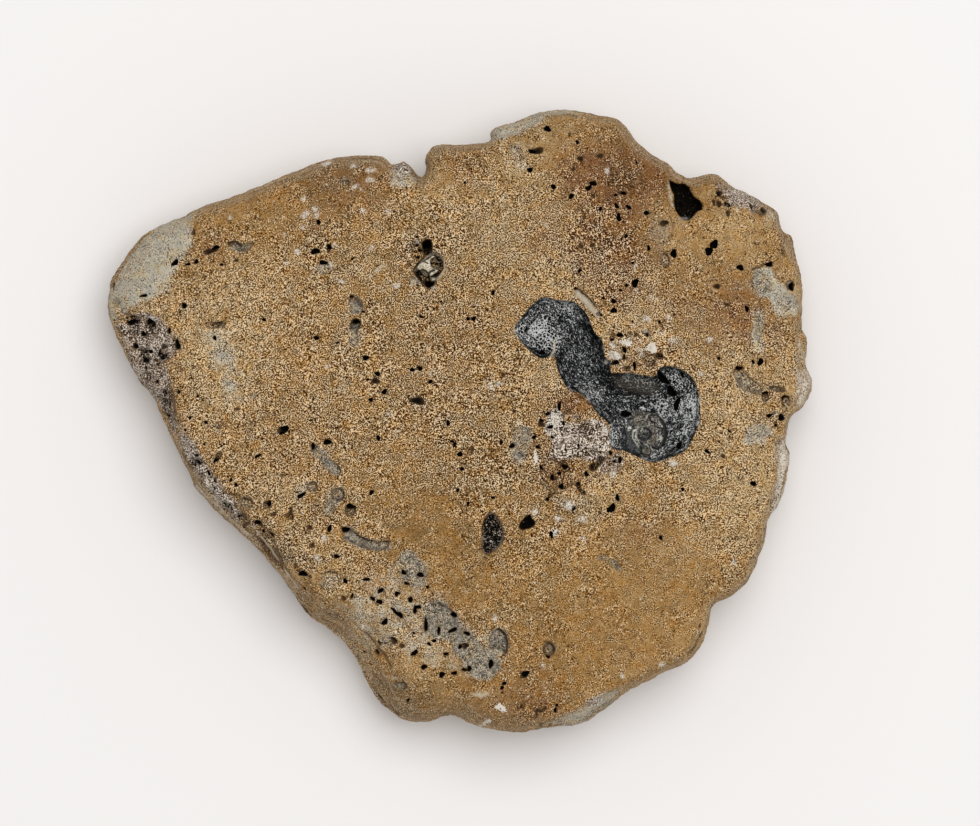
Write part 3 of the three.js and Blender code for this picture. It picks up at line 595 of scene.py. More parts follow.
def spots(x, y, places, soft=0.2):
    """1 on small uneven spots, fading over soft mm: (u, v, width, length, turn in degrees)."""
    value = np.zeros(x.shape, np.float32)
    for u, v, width, length, turn in places:
        near = near_place(x, y, u, v, max(width, length) * SQUARE + soft)
        if not near.any():
            continue
        px, py = x[near], y[near]
        uneven = 0.5 * flat_noise(px, py, 0.5, SEED["spots"], 1)
        edge = 1 - oval(px, py, u, v, width, length, turn) + uneven
        edge = edge * min(width, length) * SQUARE / 2
        value[near] = np.maximum(value[near], smoothstep(-soft, soft, edge))
    return value


def painted(x, y, grounds):
    """The strength of patches of ground: (strength, softness in mm, outline)."""
    value = np.zeros(x.shape, np.float32)
    for strength, soft, outline in grounds:
        value = np.maximum(value, strength * patch(x, y, outline, 2 * soft))
    return value


# ---------------------------------------------------------------------------------------------
# The stone's skin as a height over the ground: the girth, the rounded rim and the upper face
# ---------------------------------------------------------------------------------------------
def rim_shape(x, y):
    """Width and fullness of the rim's rounding, and the height of the girth, at each place."""
    bearings, *columns = column_arrays(RIM)
    bearing = np.degrees(np.arctan2(y, x))
    width, fullness, girth = (np.interp(bearing, bearings, column) for column in columns)
    return width, fullness, girth + GIRTH_SWING * flat_noise(x, y, 34, SEED["girth"], 2)


def inward_distance(x, y):
    """Distance in mm in from the girth, seen from above."""
    girth = smooth_closed(placed(OUTLINE))
    ragged = RAGGEDNESS * flat_noise(x, y, 2.6, SEED["rim"], 4, 0.75)
    return inside_distance(x, y, girth) - SKIN_MARGIN + ragged


def hollow_depth(x, y):
    corners = smooth_closed(placed(HOLLOW_RIM), 2)
    near = near_outline(x, y, corners, 1)
    depth = np.zeros(x.shape)
    if near.any():
        px, py = x[near], y[near]
        uneven = 0.08 * flat_noise(px, py, 1.1, SEED["hollow rim"], 1)
        edge = inside_distance(px, py, corners) + uneven
        weights, floor = 0, 0
        for u, v, floor_depth in HOLLOW_FLOOR:
            at_x, at_y = place(u, v)
            away = (px - at_x) ** 2 + (py - at_y) ** 2
            weight = np.exp(-away / HOLLOW_FLOOR_SPREAD ** 2) + 1e-9
            weights = weights + weight
            floor = floor + weight * floor_depth
        wall = 1 - (1 - np.clip(edge / HOLLOW_WALL, 0, 1)) ** 2.2
        grain = 0.24 * flat_noise(px, py, 1.1, SEED["hollow floor"], gain=0.75)
        lines = 0.22 * line_share(px, py, DARK_LINES) - 0.12 * line_share(px, py, PALE_LINES)
        depth[near] = (floor / weights + grain * wall + lines) * wall
    return depth


def vug_depth(x, y):
    depth = np.zeros(x.shape)
    for number, (deepest, wall_width, outline) in enumerate(VUGS):
        corners = placed(outline)
        near = near_outline(x, y, corners, 1)
        if not near.any():
            continue
        px, py = x[near], y[near]
        ragged = 0.12 * flat_noise(px, py, 1.0, SEED["vug rim"] + number, gain=0.7)
        edge = inside_distance(px, py, corners) + ragged
        wall = 1 - (1 - np.clip(edge / wall_width, 0, 1)) ** 2
        uneven = 1 + 0.28 * flat_noise(px, py, 1.4, SEED["vug floor"] + number, gain=0.8)
        depth[near] = np.maximum(depth[near], deepest * wall * uneven)
    return depth


def gutter_depth(x, y):
    depth = np.zeros(x.shape)
    for number, (u, v, width, length, turn, deepest) in enumerate(GUTTERS):
        near = near_place(x, y, u, v, max(width, length) * SQUARE)
        if not near.any():
            continue
        px, py = x[near], y[near]
        uneven = 0.16 * flat_noise(px, py, 1.3, SEED["gutter"] + number, 1)
        edge = 1 - oval(px, py, u, v, width, length, turn) + uneven
        bowl = np.sqrt(np.clip(edge * 1.6, 0, 1))
        depth[near] = np.maximum(depth[near], 1.5 * deepest * bowl)
    return depth


def ledge_depth(x, y):
    depth = np.zeros(x.shape)
    for deepest, step_width, outline in LEDGES:
        depth = np.maximum(depth, deepest * patch(x, y, outline, step_width))
    return depth


def lumpiness(x, y):
    """From -1 in the gaps of crumbly ground to 1 on its lumps."""
    return flat_noise(x, y, 1.7, SEED["lumps"], gain=0.6)


def rough_height(x, y):
    share = 0
    for outline, lump_height in ROUGH:
        share = np.maximum(share, lump_height * patch(x, y, outline, 1.6))
    return share * lumpiness(x, y)


def crumble_depth(x, y):
    share = 0
    for deepest, outline in CRUMBLED:
        share = np.maximum(share, deepest * patch(x, y, outline, 1.2))
    return share * smoothstep(0.1, 0.42, flat_noise(x, y, 1.9, SEED["holes"], gain=0.7))


def face_height(x, y):
    """The upper face with its swells and lumps, before anything is cut into it."""
    uneven = 0.22 * flat_noise(x, y, 9, SEED["face"], gain=0.55)
    height = FACE_HEIGHT + blobs(x, y, RELIEF) + uneven + rough_height(x, y)
    return np.minimum(height, THICKNESS - SKIN_MARGIN)


def skin_height(x, y, inward):
    """The height of the uncut skin inside the girth."""
    width, fullness, girth = rim_shape(x, y)
    away = np.clip(1 - inward / width, 0, 1)
    rise = (1 - away ** fullness) ** (1 / fullness)
    return girth + (face_height(x, y) - girth) * rise


def cut_depth(x, y):
    """How deep everything but the borings goes below the skin."""
    pits = np.maximum.reduce([
        hollow_depth(x, y), vug_depth(x, y), gutter_depth(x, y), ledge_depth(x, y)])
    return pits + crumble_depth(x, y) + CRACK_DEPTH * line_share(x, y, CRACKS_AND_SHADOW_LINES, 0.16)


# ---------------------------------------------------------------------------------------------
# The stone as a solid: a grid of distances, drilled, then meshed
# ---------------------------------------------------------------------------------------------
class StoneField:
    """Signed distance in mm, negative inside, on a grid of VOXEL cubes."""

    def __init__(self):
        margin = 4 * VOXEL
        self.low = np.array([-LENGTH / 2 - margin, -DEPTH / 2 - margin, -margin])
        high = np.array([LENGTH / 2 + margin, DEPTH / 2 + margin, THICKNESS + margin])
        self.counts = np.ceil((high - self.low) / VOXEL).astype(int) + 1
        self.axes = [self.low[i] + VOXEL * np.arange(self.counts[i]) for i in range(3)]
        self.x, self.y = np.meshgrid(self.axes[0], self.axes[1], indexing="ij")
        self.inward = inward_distance(self.x, self.y)
        self.skin = skin_height(self.x, self.y, self.inward)
        self.cut = cut_depth(self.x, self.y)
        self.values = np.empty(self.counts, np.float32)
        self.fill()

    def fill(self):
        """Works out the uncut skin, its cuts and its beds, one level of the grid at a time."""
        x, y = self.x, self.y
        width, fullness, girth = rim_shape(x, y)
        under = UNDERSIDE_ROUNDING + 3 * flat_noise(x, y, 20, SEED["underside"], 1)
        top = face_height(x, y)
        floor = self.skin - self.cut
        on_side = 1 - smoothstep(0.5, 1.3, self.inward / width)
        slope_x, slope_y = np.gradient(floor, VOXEL)
        steepness = np.sqrt(1 + np.minimum(slope_x ** 2 + slope_y ** 2, 60))
        cut_here = self.cut > 0.02
        upper_away = np.maximum(1 - self.inward / width, 0) ** fullness
        under_away = np.maximum(1 - self.inward / under, 0) ** UNDERSIDE_FULLNESS
        beds = [flat_noise(x, y, 16, SEED["beds"] + number, 1)
                for number in range(math.ceil(THICKNESS / BED_HEIGHT) + 3)]
        for layer, z in enumerate(self.axes[2]):
            above = z > girth
            power = np.where(above, fullness, UNDERSIDE_FULLNESS)
            reach = np.where(above, top - girth, girth)
            rounding = np.where(above, width, under)
            away = np.where(above, upper_away, under_away)
            rise = (np.abs(z - girth) / reach) ** power
            total = away + rise
            scale = (away * rounding + rise * reach) / np.maximum(total, 1e-6)
            value = (total ** (1 / power) - 1) * scale
            value = np.where(cut_here, np.maximum(value, (z - floor) / steepness), value)
            bed, share = divmod(z / BED_HEIGHT + 1, 1)
            lower, upper = beds[int(bed)], beds[int(bed) + 1]
            ledge = lower + (upper - lower) * smoothstep(0, 1, share)
            self.values[:, :, layer] = value + BED_RELIEF * on_side * (ledge + 0.4)

    def height_at(self, x, y):
        """The height of the cut ground at a place, and the slope of the uncut skin there."""
        column = np.round((np.array([x, y]) - self.low[:2]) / VOXEL).astype(int)
        i, j = np.clip(column, 1, self.counts[:2] - 2)
        slope = np.array([self.skin[i + 1, j] - self.skin[i - 1, j],
                          self.skin[i, j + 1] - self.skin[i, j - 1]]) / (2 * VOXEL)
        return self.skin[i, j] - self.cut[i, j], slope

    def drill(self, centre, outward, width, length, turn, depth, seed):
        """Takes out one boring that goes in against the outward direction."""
        outward = np.array(outward, float) / np.linalg.norm(outward)
        angle = math.radians(turn)
        side = np.cross([-math.sin(angle), math.cos(angle), 0], outward)
        side /= np.linalg.norm(side)
        ahead = np.cross(outward, side)
        half_width, half_length = max(width, SMALLEST_HOLE) / 2, max(length, SMALLEST_HOLE) / 2
        reach = max(half_width, half_length) + depth + 1
        start = np.floor((np.array(centre) - reach - self.low) / VOXEL).astype(int)
        stop = np.ceil((np.array(centre) + reach - self.low) / VOXEL).astype(int) + 1
        start, stop = np.clip(start, 0, self.counts), np.clip(stop, 0, self.counts)
        if (stop <= start).any():
            return
        x, y, z = (axis[a:b] - c for axis, a, b, c in zip(self.axes, start, stop, centre))
        x, y, z = x[:, None, None], y[None, :, None], z[None, None, :]
        across = x * side[0] + y * side[1] + z * side[2]
        along = x * ahead[0] + y * ahead[1] + z * ahead[2]
        out = x * outward[0] + y * outward[1] + z * outward[2]
        rng = np.random.default_rng(RANDOM_SEED + seed)
        bearing = np.arctan2(along / half_length, across / half_width)
        wobble = 1
        for waves in (2, 3):
            wobble = wobble + 0.15 * np.sin(waves * bearing + rng.uniform(0, 6))
        ring = np.sqrt((across / half_width) ** 2 + (along / half_length) ** 2) / wobble
        sunk = np.maximum(-out, 0) / depth
        hole = (np.sqrt(ring ** 2 + sunk ** 4) - 1) * min(half_width, half_length)
        hole = np.maximum(hole, out - HOLE_TOP)
        block = self.values[tuple(slice(a, b) for a, b in zip(start, stop))]
        np.maximum(block, -hole, out=block)

    def sampled(self, values, x, y, z):
        """How deep each point lies in the solid that the values describe."""
        steps = [(p - low) / VOXEL for p, low in zip((x, y, z), self.low)]
        cells = [np.clip(np.floor(s).astype(int), 0, n - 2) for s, n in zip(steps, self.counts)]
        shares = [s - c for s, c in zip(steps, cells)]
        total = 0
        for corner in range(8):
            sides = [corner >> axis & 1 for axis in range(3)]
            weight = 1
            for share, side in zip(shares, sides):
                weight = weight * (share if side else 1 - share)
            total = total + weight * values[tuple(c + s for c, s in zip(cells, sides))]
        return np.clip(-total, 0, 6)

    def mesh_arrays(self):
        return mesh_of(self.values, self.low, VOXEL)


def drill_all(stone):
    """The borings and dents of the face, then those of the sides."""
    rng = np.random.default_rng(RANDOM_SEED)
    seed = SEED["borings"]
    for places, least_depth, slant in ((BORINGS, 0.9, 0.25), (DENTS, 0.3, 0.1)):
        for u, v, width, length, turn in places:
            x, y = place(u, v)
            height, slope = stone.height_at(x, y)
            depth = least_depth * (1 + min(width, length) * SQUARE)
            lean = rng.uniform(-slant, slant, 2)
            outward = (-0.6 * slope[0] + lean[0], -0.6 * slope[1] + lean[1], 1)
            stone.drill((x, y, height), outward, width * SQUARE, length * SQUARE, turn, depth, seed)
            seed += 1
    drill_sides(stone, rng, seed)


def drill_sides(stone, rng, seed):
    girth = smooth_closed(placed(OUTLINE))
    for number in range(SIDE_BORINGS):
        corner = girth[rng.integers(len(girth))]
        outward = corner / np.linalg.norm(corner)
        height = rng.uniform(0.12, 0.62) * THICKNESS
        sunk = abs(height - GIRTH_HEIGHT) / THICKNESS
        inset = 0.3 + 6 * sunk ** 2
        centre = (*(corner - outward * inset), height)
        width = rng.uniform(0.5, 1.5)
        length = width * rng.uniform(0.8, 2.4)
        tilt = rng.uniform(-0.3, 0.3)
        stone.drill(centre, (*outward, tilt), width, length, 90, 1 + width, seed + number)


def mesh_of(values, low, voxel):
    """The points and faces of the surface where the values, distances in mm, pass through 0."""
    limit = 3 * voxel
    grid = openvdb.FloatGrid(limit)
    grid.copyFromArray(np.clip(values, -limit, limit).astype(np.float32))
    points, quads = grid.convertToQuads(0.0)
    return points * voxel + low, quads


def make_object(name, points, faces):
    """An object of these points, in mm, and faces."""
    mesh = bpy.data.meshes.new(name)
    mesh.vertices.add(len(points))
    mesh.vertices.foreach_set("co", (np.asarray(points) / 1000).astype(np.float32).ravel())
    sides = faces.shape[1]
    mesh.loops.add(faces.size)
    mesh.loops.foreach_set("vertex_index", faces.astype(np.int32).ravel())
    mesh.polygons.add(len(faces))
    mesh.polygons.foreach_set("loop_start", np.arange(0, faces.size, sides, dtype=np.int32))
    mesh.update(calc_edges=True)
    mesh.validate()
    thing = bpy.data.objects.new(name, mesh)
    bpy.context.scene.collection.objects.link(thing)
    return thing


def thin_out(thing, most_faces, plainness=None):
    """Collapses edges until the object has at most that many triangles, plain ground first."""
    triangles = sum(len(face.vertices) - 2 for face in thing.data.polygons)
    collapse = thing.modifiers.new("thin_out", "DECIMATE")
    collapse.ratio = min(1, most_faces / triangles)
    collapse.use_collapse_triangulate = True
    if plainness is not None:
        group = thing.vertex_groups.new(name="plain")
        levels = np.round(np.clip(plainness, 0, 1) * PLAIN_LEVELS).astype(int)
        for level in range(PLAIN_LEVELS + 1):
            chosen = np.flatnonzero(levels == level)
            group.add(chosen.tolist(), level / PLAIN_LEVELS, "REPLACE")
        collapse.vertex_group = group.name
        collapse.vertex_group_factor = DETAIL_PULL
    graph = bpy.context.evaluated_depsgraph_get()
    thinned = bpy.data.meshes.new_from_object(thing.evaluated_get(graph))
    thing.modifiers.clear()
    thing.vertex_groups.clear()
    full = thing.data
    thing.data = thinned
    bpy.data.meshes.remove(full)
    thinned.name = thing.name


def points_of(thing):
    """The object's points in mm, as three arrays."""
    flat = np.empty(len(thing.data.vertices) * 3, np.float32)
    thing.data.vertices.foreach_get("co", flat)
    return (flat.reshape(-1, 3) * 1000).T


def facing_up(thing):
    """How far the surface faces up at each point: 1 for flat ground, 0 for a wall."""
    flat = np.empty(len(thing.data.vertices) * 3, np.float32)
    thing.data.vertices.foreach_get("normal", flat)
    return flat.reshape(-1, 3)[:, 2]


def give(thing, name, values):
    """Stores one value for each point of the object, for its material to read."""
    layer = thing.data.attributes.new(name, "FLOAT", "POINT")
    layer.data.foreach_set("value", np.asarray(values, np.float32))


# ---------------------------------------------------------------------------------------------
# Markings. Patches of ground are lists of (strength, softness in mm, outline), and round spots
# that fade into each other are lists of (u, v, radius, strength).
# ---------------------------------------------------------------------------------------------
# Bare grey limestone.
GREY_GROUND = [
    (1.0, 1.6, [(100, 305), (104, 275), (122, 248), (143, 228), (170, 212), (190, 206), (192, 232),
                (194, 246), (182, 258), (174, 276), (166, 290), (150, 300), (130, 306), (112, 312)]),
    (0.9, 0.8, [(484, 143), (484, 126), (500, 118), (525, 110), (545, 104), (580, 105),
                (580, 113), (548, 117), (535, 127), (520, 135), (500, 141)]),
    (0.5, 2.5, [(500, 143), (512, 143), (534, 165), (526, 174), (508, 162)]),
    (0.9, 0.8, [(751, 273), (760, 268), (770, 268), (774, 280), (787, 290), (800, 305),
                (796, 316), (776, 318), (768, 300), (756, 296)]),
    (0.7, 0.8, [(751, 312), (762, 310), (765, 325), (762, 352), (751, 352)]),
    (0.8, 0.8, [(746, 428), (756, 422), (770, 424), (772, 434), (762, 444), (738, 445), (742, 438)]),
    (0.4, 2.0, [(395, 560), (408, 549), (424, 562), (432, 584), (455, 600), (472, 622),
                (490, 628), (508, 628), (509, 650), (500, 674), (480, 680), (466, 656),
                (448, 644), (432, 622), (420, 606), (404, 590)]),
    (0.45, 4.0, [(385, 560), (420, 590), (450, 630), (470, 676), (430, 670), (395, 655),
                 (350, 640), (335, 600), (350, 580), (366, 565)]),
    (0.9, 1.0, [(550, 730), (550, 721), (560, 716), (580, 708), (590, 700), (604, 691),
                (622, 688), (618, 698), (604, 708), (590, 722), (570, 730)]),
    (0.6, 2.0, [(200, 330), (232, 330), (240, 360), (246, 400), (228, 404), (214, 372)]),
    (0.7, 1.5, [(514, 430), (522, 424), (532, 426), (530, 445), (524, 462), (517, 470), (511, 450)]),
    (0.5, 2.4, [(338, 376), (352, 374), (354, 394), (338, 398)]),
    (0.4, 3.0, [(484, 374), (500, 374), (500, 404), (482, 408)]),
    (0.35, 3.0, [(416, 366), (444, 362), (450, 386), (426, 394)]),
    (0.55, 1.4, [(329, 486), (340, 485), (346, 494), (340, 502), (330, 518), (322, 514)]),
    (0.6, 1.0, [(344, 528), (360, 538), (390, 542), (388, 550), (362, 547), (344, 539)]),
    (0.65, 0.8, [(311, 444), (318, 444), (341, 468), (338, 476), (330, 473), (312, 452)]),
    (0.5, 1.2, [(346, 300), (356, 296), (366, 308), (362, 315), (348, 314)]),
    (0.5, 1.2, [(350, 322), (362, 320), (360, 348), (346, 350)]),
    (0.7, 1.0, [(390, 186), (390, 170), (400, 164), (412, 172), (422, 180), (412, 188), (402, 190)]),
    (0.5, 1.5, [(560, 492), (578, 492), (590, 496), (588, 504), (570, 512), (556, 506)]),
    (0.7, 0.8, [(733, 370), (740, 372), (748, 382), (762, 390), (760, 396), (745, 394), (733, 382)]),
    (0.5, 1.4, [(745, 196), (756, 196), (757, 214), (746, 214)]),
    (0.6, 1.4, [(764, 206), (776, 208), (783, 224), (770, 224), (760, 216)]),
    (0.6, 1.4, [(797, 338), (812, 338), (812, 366), (796, 366)]),
    (0.5, 0.8, [(410, 276), (420, 278), (424, 286), (414, 288)]),
    (0.6, 0.8, [(318, 262), (332, 262), (334, 272), (322, 278), (314, 272)]),
    (0.5, 1.2, [(300, 478), (316, 480), (316, 492), (302, 500), (294, 496)]),
]

# Darker grey limestone.
SLATE_GROUND = [
    (0.2, 2.0, [(100, 305), (104, 275), (122, 248), (143, 228), (170, 212), (190, 210), (188, 250),
                (160, 288), (130, 306)]),
    (0.7, 0.8, [(396, 556), (408, 548), (420, 556), (430, 575), (424, 588), (410, 588), (398, 572)]),
    (1.0, 0.6, [(426, 602), (440, 598), (456, 612), (463, 628), (450, 640), (438, 640), (428, 630),
                (424, 615)]),
    (0.9, 0.6, [(446, 630), (468, 626), (480, 640), (494, 650), (502, 668), (490, 680), (474, 678),
                (464, 664), (452, 648)]),
    (1.0, 0.4, [(490, 632), (498, 626), (505, 631), (509, 644), (505, 655), (496, 652), (488, 643)]),
    (0.9, 0.6, [(344, 527), (352, 526), (362, 536), (378, 541), (392, 541), (390, 549), (376, 551),
                (360, 547), (343, 538)]),
    (0.8, 0.6, [(311, 444), (318, 444), (341, 468), (339, 476), (330, 474), (312, 452)]),
    (0.9, 0.5, [(229, 244), (240, 244), (254, 245), (250, 250), (242, 254), (232, 251)]),
    (0.7, 0.6, [(512, 432), (522, 424), (531, 428), (529, 446), (522, 462), (514, 462)]),
    (0.8, 0.5, [(352, 302), (358, 298), (364, 308), (362, 315), (350, 314)]),
    (0.8, 0.5, [(351, 322), (361, 320), (361, 330), (356, 337), (350, 334)]),
    (0.7, 0.6, [(736, 372), (744, 374), (752, 384), (762, 390), (758, 395), (744, 393), (734, 382)]),
    (0.7, 0.6, [(331, 490), (344, 488), (346, 496), (336, 506), (328, 516), (322, 512)]),
    (0.7, 0.5, [(588, 716), (604, 702), (624, 688), (618, 700), (600, 716), (584, 728)]),
]

# Crumbly, pinkish crust.
CRUST_GROUND = [
    (0.9, 0.5, [(489, 513), (495, 514), (500, 521), (503, 532), (503, 539), (497, 547), (489, 552),
                (484, 552), (482, 545), (483, 528)]),
    (1.0, 0.8, [(545, 425), (549, 411), (557, 408), (562, 414), (564, 423), (575, 424), (590, 420),
                (604, 422), (610, 432), (611, 446), (609, 451), (606, 457), (600, 459), (590, 461),
                (583, 458), (577, 456), (568, 458), (560, 461), (552, 454), (553, 440), (543, 431)]),
    (0.3, 1.0, [(608, 338), (622, 328), (640, 338), (642, 356), (632, 372), (612, 372), (606, 356)]),
    (0.6, 0.8, LEFT_BREAK),
    (0.75, 1.2, [(178, 430), (192, 436), (206, 462), (222, 484), (236, 500), (246, 518), (236, 520),
                 (216, 500), (196, 472), (182, 450)]),
    (0.6, 1.4, [(714, 184), (745, 187), (764, 206), (752, 214), (730, 206), (716, 196)]),
    (0.6, 1.0, [(598, 462), (618, 450), (628, 466), (610, 474), (598, 474)]),
    (0.8, 0.8, [(392, 168), (398, 160), (410, 160), (412, 172), (400, 180)]),
    (0.7, 0.8, [(584, 700), (596, 694), (604, 698), (598, 706), (588, 708)]),
    (0.6, 0.8, [(550, 448), (560, 448), (566, 454), (562, 462), (552, 460)]),
]

# Smooth ground stained grey brown.
SMOKE_GROUND = [
    (1.0, 1.2, [(264, 545), (278, 538), (296, 545), (312, 558), (322, 560), (318, 570), (306, 570),
                (290, 562), (278, 560)]),
    (0.9, 1.5, [(318, 612), (330, 606), (345, 620), (352, 640), (372, 668), (396, 684), (410, 700),
                (420, 716), (404, 726), (376, 708), (352, 668), (328, 634)]),
    (0.8, 0.9, [(186, 450), (196, 470), (207, 490), (222, 514), (232, 526), (226, 532), (206, 508),
                (188, 476), (178, 452)]),
    (0.7, 1.0, [(240, 530), (262, 556), (290, 588), (310, 606), (312, 622), (290, 604), (262, 572),
                (236, 540)]),
    (0.8, 0.8, [(406, 168), (414, 168), (424, 178), (418, 182)]),
    (0.5, 3.0, [(295, 172), (345, 152), (386, 158), (384, 180), (350, 196), (310, 196)]),
]

# White lime and shell.
CHALK_GROUND = [
    (0.55, 1.0, [(775, 440), (790, 438), (796, 458), (790, 490), (778, 520), (768, 514),
                 (774, 480)]),
    (0.5, 1.6, [(792, 368), (816, 370), (816, 398), (800, 412), (792, 404)]),
    (0.55, 0.7, [(548, 414), (553, 410), (559, 409), (562, 415), (562, 424), (557, 428), (548, 430),
                 (545, 424)]),
    (1.0, 0.3, [(643, 350), (646, 346), (650, 342), (654, 344), (656, 349), (655, 353), (652, 354),
                (648, 351)]),
    (1.0, 0.3, [(493, 706), (498, 703), (500, 701), (503, 705), (507, 708), (502, 711), (498, 708)]),
    (1.0, 0.3, [(534, 452), (537, 452), (538, 458), (537, 463), (535, 464), (533, 460)]),
    (0.8, 0.5, [(485, 720), (491, 717), (492, 722), (486, 724)]),
    (0.8, 0.4, [(608, 352), (614, 350), (620, 354), (620, 359), (614, 361), (608, 358)]),
    (0.7, 0.6, [(550, 530), (557, 527), (560, 532), (556, 537), (551, 536)]),
    (0.7, 0.5, [(618, 339), (628, 339), (634, 344), (628, 347), (620, 345)]),
]

# Ground stained red by iron.
RED_GROUND = [
    (620, 255, 46, 0.45), (612, 205, 46, 0.35), (722, 310, 40, 0.35),
    (622, 178, 30, 1.0), (600, 140, 42, 0.15), (655, 165, 24, 1.0), (345, 172, 48, 0.6),
    (540, 243, 18, 0.7), (592, 246, 22, 0.9), (610, 264, 28, 0.9), (586, 184, 26, 0.7),
    (465, 168, 24, 0.5), (738, 312, 34, 0.5), (640, 530, 24, 0.4), (505, 722, 52, 0.4),
    (575, 165, 22, 0.5), (612, 300, 14, 0.6), (215, 248, 14, 0.6), (560, 472, 20, 0.9),
    (562, 400, 18, 0.9), (580, 406, 14, 0.9), (655, 360, 14, 0.7), (776, 398, 12, 0.5),
    (160, 390, 18, 0.6), (300, 440, 30, 0.3), (540, 700, 24, 0.5), (545, 455, 14, 0.9),
    (270, 557, 10, 0.9), (790, 245, 10, 0.7), (770, 330, 26, 0.5), (412, 250, 8, 0.8),
    (425, 276, 7, 0.6), (650, 361, 8, 0.7), (670, 310, 30, 0.3), (315, 225, 14, 0.4),
]

# Dark stains, and a darker lower-left flank: partly its own darker brown, partly painted shade
# on the side away from the lamp.
DARK_GROUND = [
    (624, 180, 22, 1.0), (606, 250, 34, 0.4), (414, 250, 12, 0.9), (418, 402, 10, 0.4),
    (450, 280, 50, 0.35), (470, 430, 60, 0.3), (560, 470, 18, 0.6), (252, 534, 24, 1.0),
    (300, 600, 20, 0.6), (220, 500, 22, 0.3), (185, 450, 16, 0.3), (340, 625, 18, 0.5),
    (375, 690, 26, 0.6), (410, 715, 24, 0.6), (160, 385, 14, 0.4), (350, 170, 30, 0.3),
    (440, 500, 50, 0.25), (285, 430, 8, 0.3), (545, 455, 10, 0.7), (430, 360, 60, 0.2),
    (505, 722, 40, 0.1), (560, 402, 10, 0.5), (262, 528, 12, 0.6),
]

# Pale, sandy ground, and painted light along the right-hand rim and its ledges, which face the lamp.
PALE_GROUND = [
    (240, 300, 46, 0.7), (222, 366, 34, 1.0), (735, 240, 34, 0.7), (560, 170, 60, 0.3),
    (815, 345, 16, 0.9), (785, 390, 24, 1.0), (800, 385, 22, 0.8), (505, 730, 40, 0.5),
    (140, 350, 30, 0.4), (818, 390, 18, 1.0), (792, 478, 22, 0.9), (560, 92, 30, 0.6),
    (640, 712, 40, 0.7), (700, 640, 30, 0.4), (215, 355, 24, 0.5), (232, 392, 20, 0.6),
    (160, 300, 22, 0.5), (745, 475, 54, 0.9), (715, 520, 50, 0.4), (545, 275, 26, 0.7),
    (548, 378, 22, 0.8), (640, 330, 34, 0.6),
    (520, 172, 22, 0.6), (500, 245, 34, 0.5), (598, 505, 22, 0.6), (740, 350, 34, 0.6),
    (735, 400, 30, 0.6), (665, 232, 22, 0.8), (700, 300, 40, 0.3), (280, 500, 26, 0.6),
    (330, 560, 26, 0.5), (360, 620, 34, 0.8), (420, 660, 34, 0.6), (180, 440, 12, 0.6),
    (620, 330, 22, 0.6), (780, 310, 26, 0.7), (310, 215, 16, 0.4), (460, 200, 40, 0.3),
    (640, 590, 60, 0.2), (560, 290, 26, 0.5), (430, 180, 20, 0.5), (800, 300, 16, 1.0),
    (795, 270, 14, 0.7), (805, 385, 14, 0.6), (610, 485, 16, 0.6), (725, 205, 14, 0.5),
    (783, 465, 18, 0.8), (785, 500, 18, 0.8), (800, 350, 14, 0.6), (600, 170, 10, 0.4),
]

# Golden brown ground.
GOLDEN_GROUND = [
    (628, 350, 26, 1.0), (575, 480, 18, 0.6), (470, 370, 64, 0.8), (600, 250, 50, 0.4),
    (245, 275, 60, 0.8), (300, 350, 60, 0.5), (700, 235, 40, 0.5), (765, 235, 34, 0.8),
    (600, 620, 90, 0.7), (690, 590, 70, 0.5), (640, 660, 50, 0.6), (785, 375, 24, 0.7),
    (250, 215, 40, 0.5), (380, 480, 60, 0.3), (730, 260, 40, 0.4), (770, 460, 16, 0.5),
    (515, 655, 16, 0.9), (330, 545, 10, 0.6),
]

# Where the grain is worn smooth.
WORN_GROUND = [
    (430, 565, 70, 0.9), (600, 630, 110, 0.9), (650, 670, 60, 0.5), (745, 225, 84, 1.0),
    (345, 175, 62, 1.0), (150, 250, 60, 0.8), (250, 205, 50, 0.8), (530, 135, 60, 0.7),
    (330, 630, 50, 0.9), (400, 700, 50, 0.9), (230, 530, 30, 0.5), (500, 715, 60, 0.7),
    (700, 600, 60, 0.5), (600, 130, 50, 0.6), (440, 160, 40, 0.6), (797, 300, 24, 0.8),
    (185, 470, 20, 0.6), (290, 580, 30, 0.6), (450, 690, 40, 0.6), (660, 232, 24, 0.8),
    (580, 406, 16, 0.9), (800, 390, 24, 0.8), (560, 475, 16, 0.5), (640, 180, 40, 0.6),
    (785, 470, 24, 0.6), (690, 170, 24, 0.8), (420, 510, 50, 0.4), (600, 180, 60, 0.35),
    (735, 330, 60, 0.35), (690, 290, 50, 0.2), (640, 520, 50, 0.3), (730, 500, 50, 0.2),
]

# Where the hollow is paler: paler mineral, and painted light on the upper wall's slope, which faces
# the lamp.
TONE_GROUND = [
    (540, 330, 17, 0.9), (552, 346, 10, 0.8), (564, 308, 14, 0.5), (520, 330, 8, 0.6),
    (590, 392, 12, 0.4), (606, 404, 14, 0.2), (665, 408, 12, 0.4), (692, 402, 9, 0.6),
    (689, 428, 10, 0.5), (676, 380, 12, 0.7), (656, 403, 9, 0.4), (682, 445, 8, 0.4),
    (655, 458, 8, 0.3), (614, 436, 7, 0.9), (626, 377, 9, 0.6), (648, 382, 9, 0.6),
    (638, 377, 9, 0.5), (694, 388, 7, 0.4),
]

# Where the hollow is darker: darker mineral, and painted shade in its deep channel and on walls
# that face away from the lamp.
SHADE_GROUND = [
    (583, 350, 24, 0.5), (575, 372, 16, 0.3), (618, 388, 10, 0.9), (636, 391, 10, 0.9),
    (600, 370, 14, 0.4), (542, 352, 8, 0.8), (592, 335, 10, 0.5), (612, 380, 10, 0.8),
    (630, 442, 9, 0.7), (566, 334, 8, 0.3), (612, 411, 16, 0.5),
]

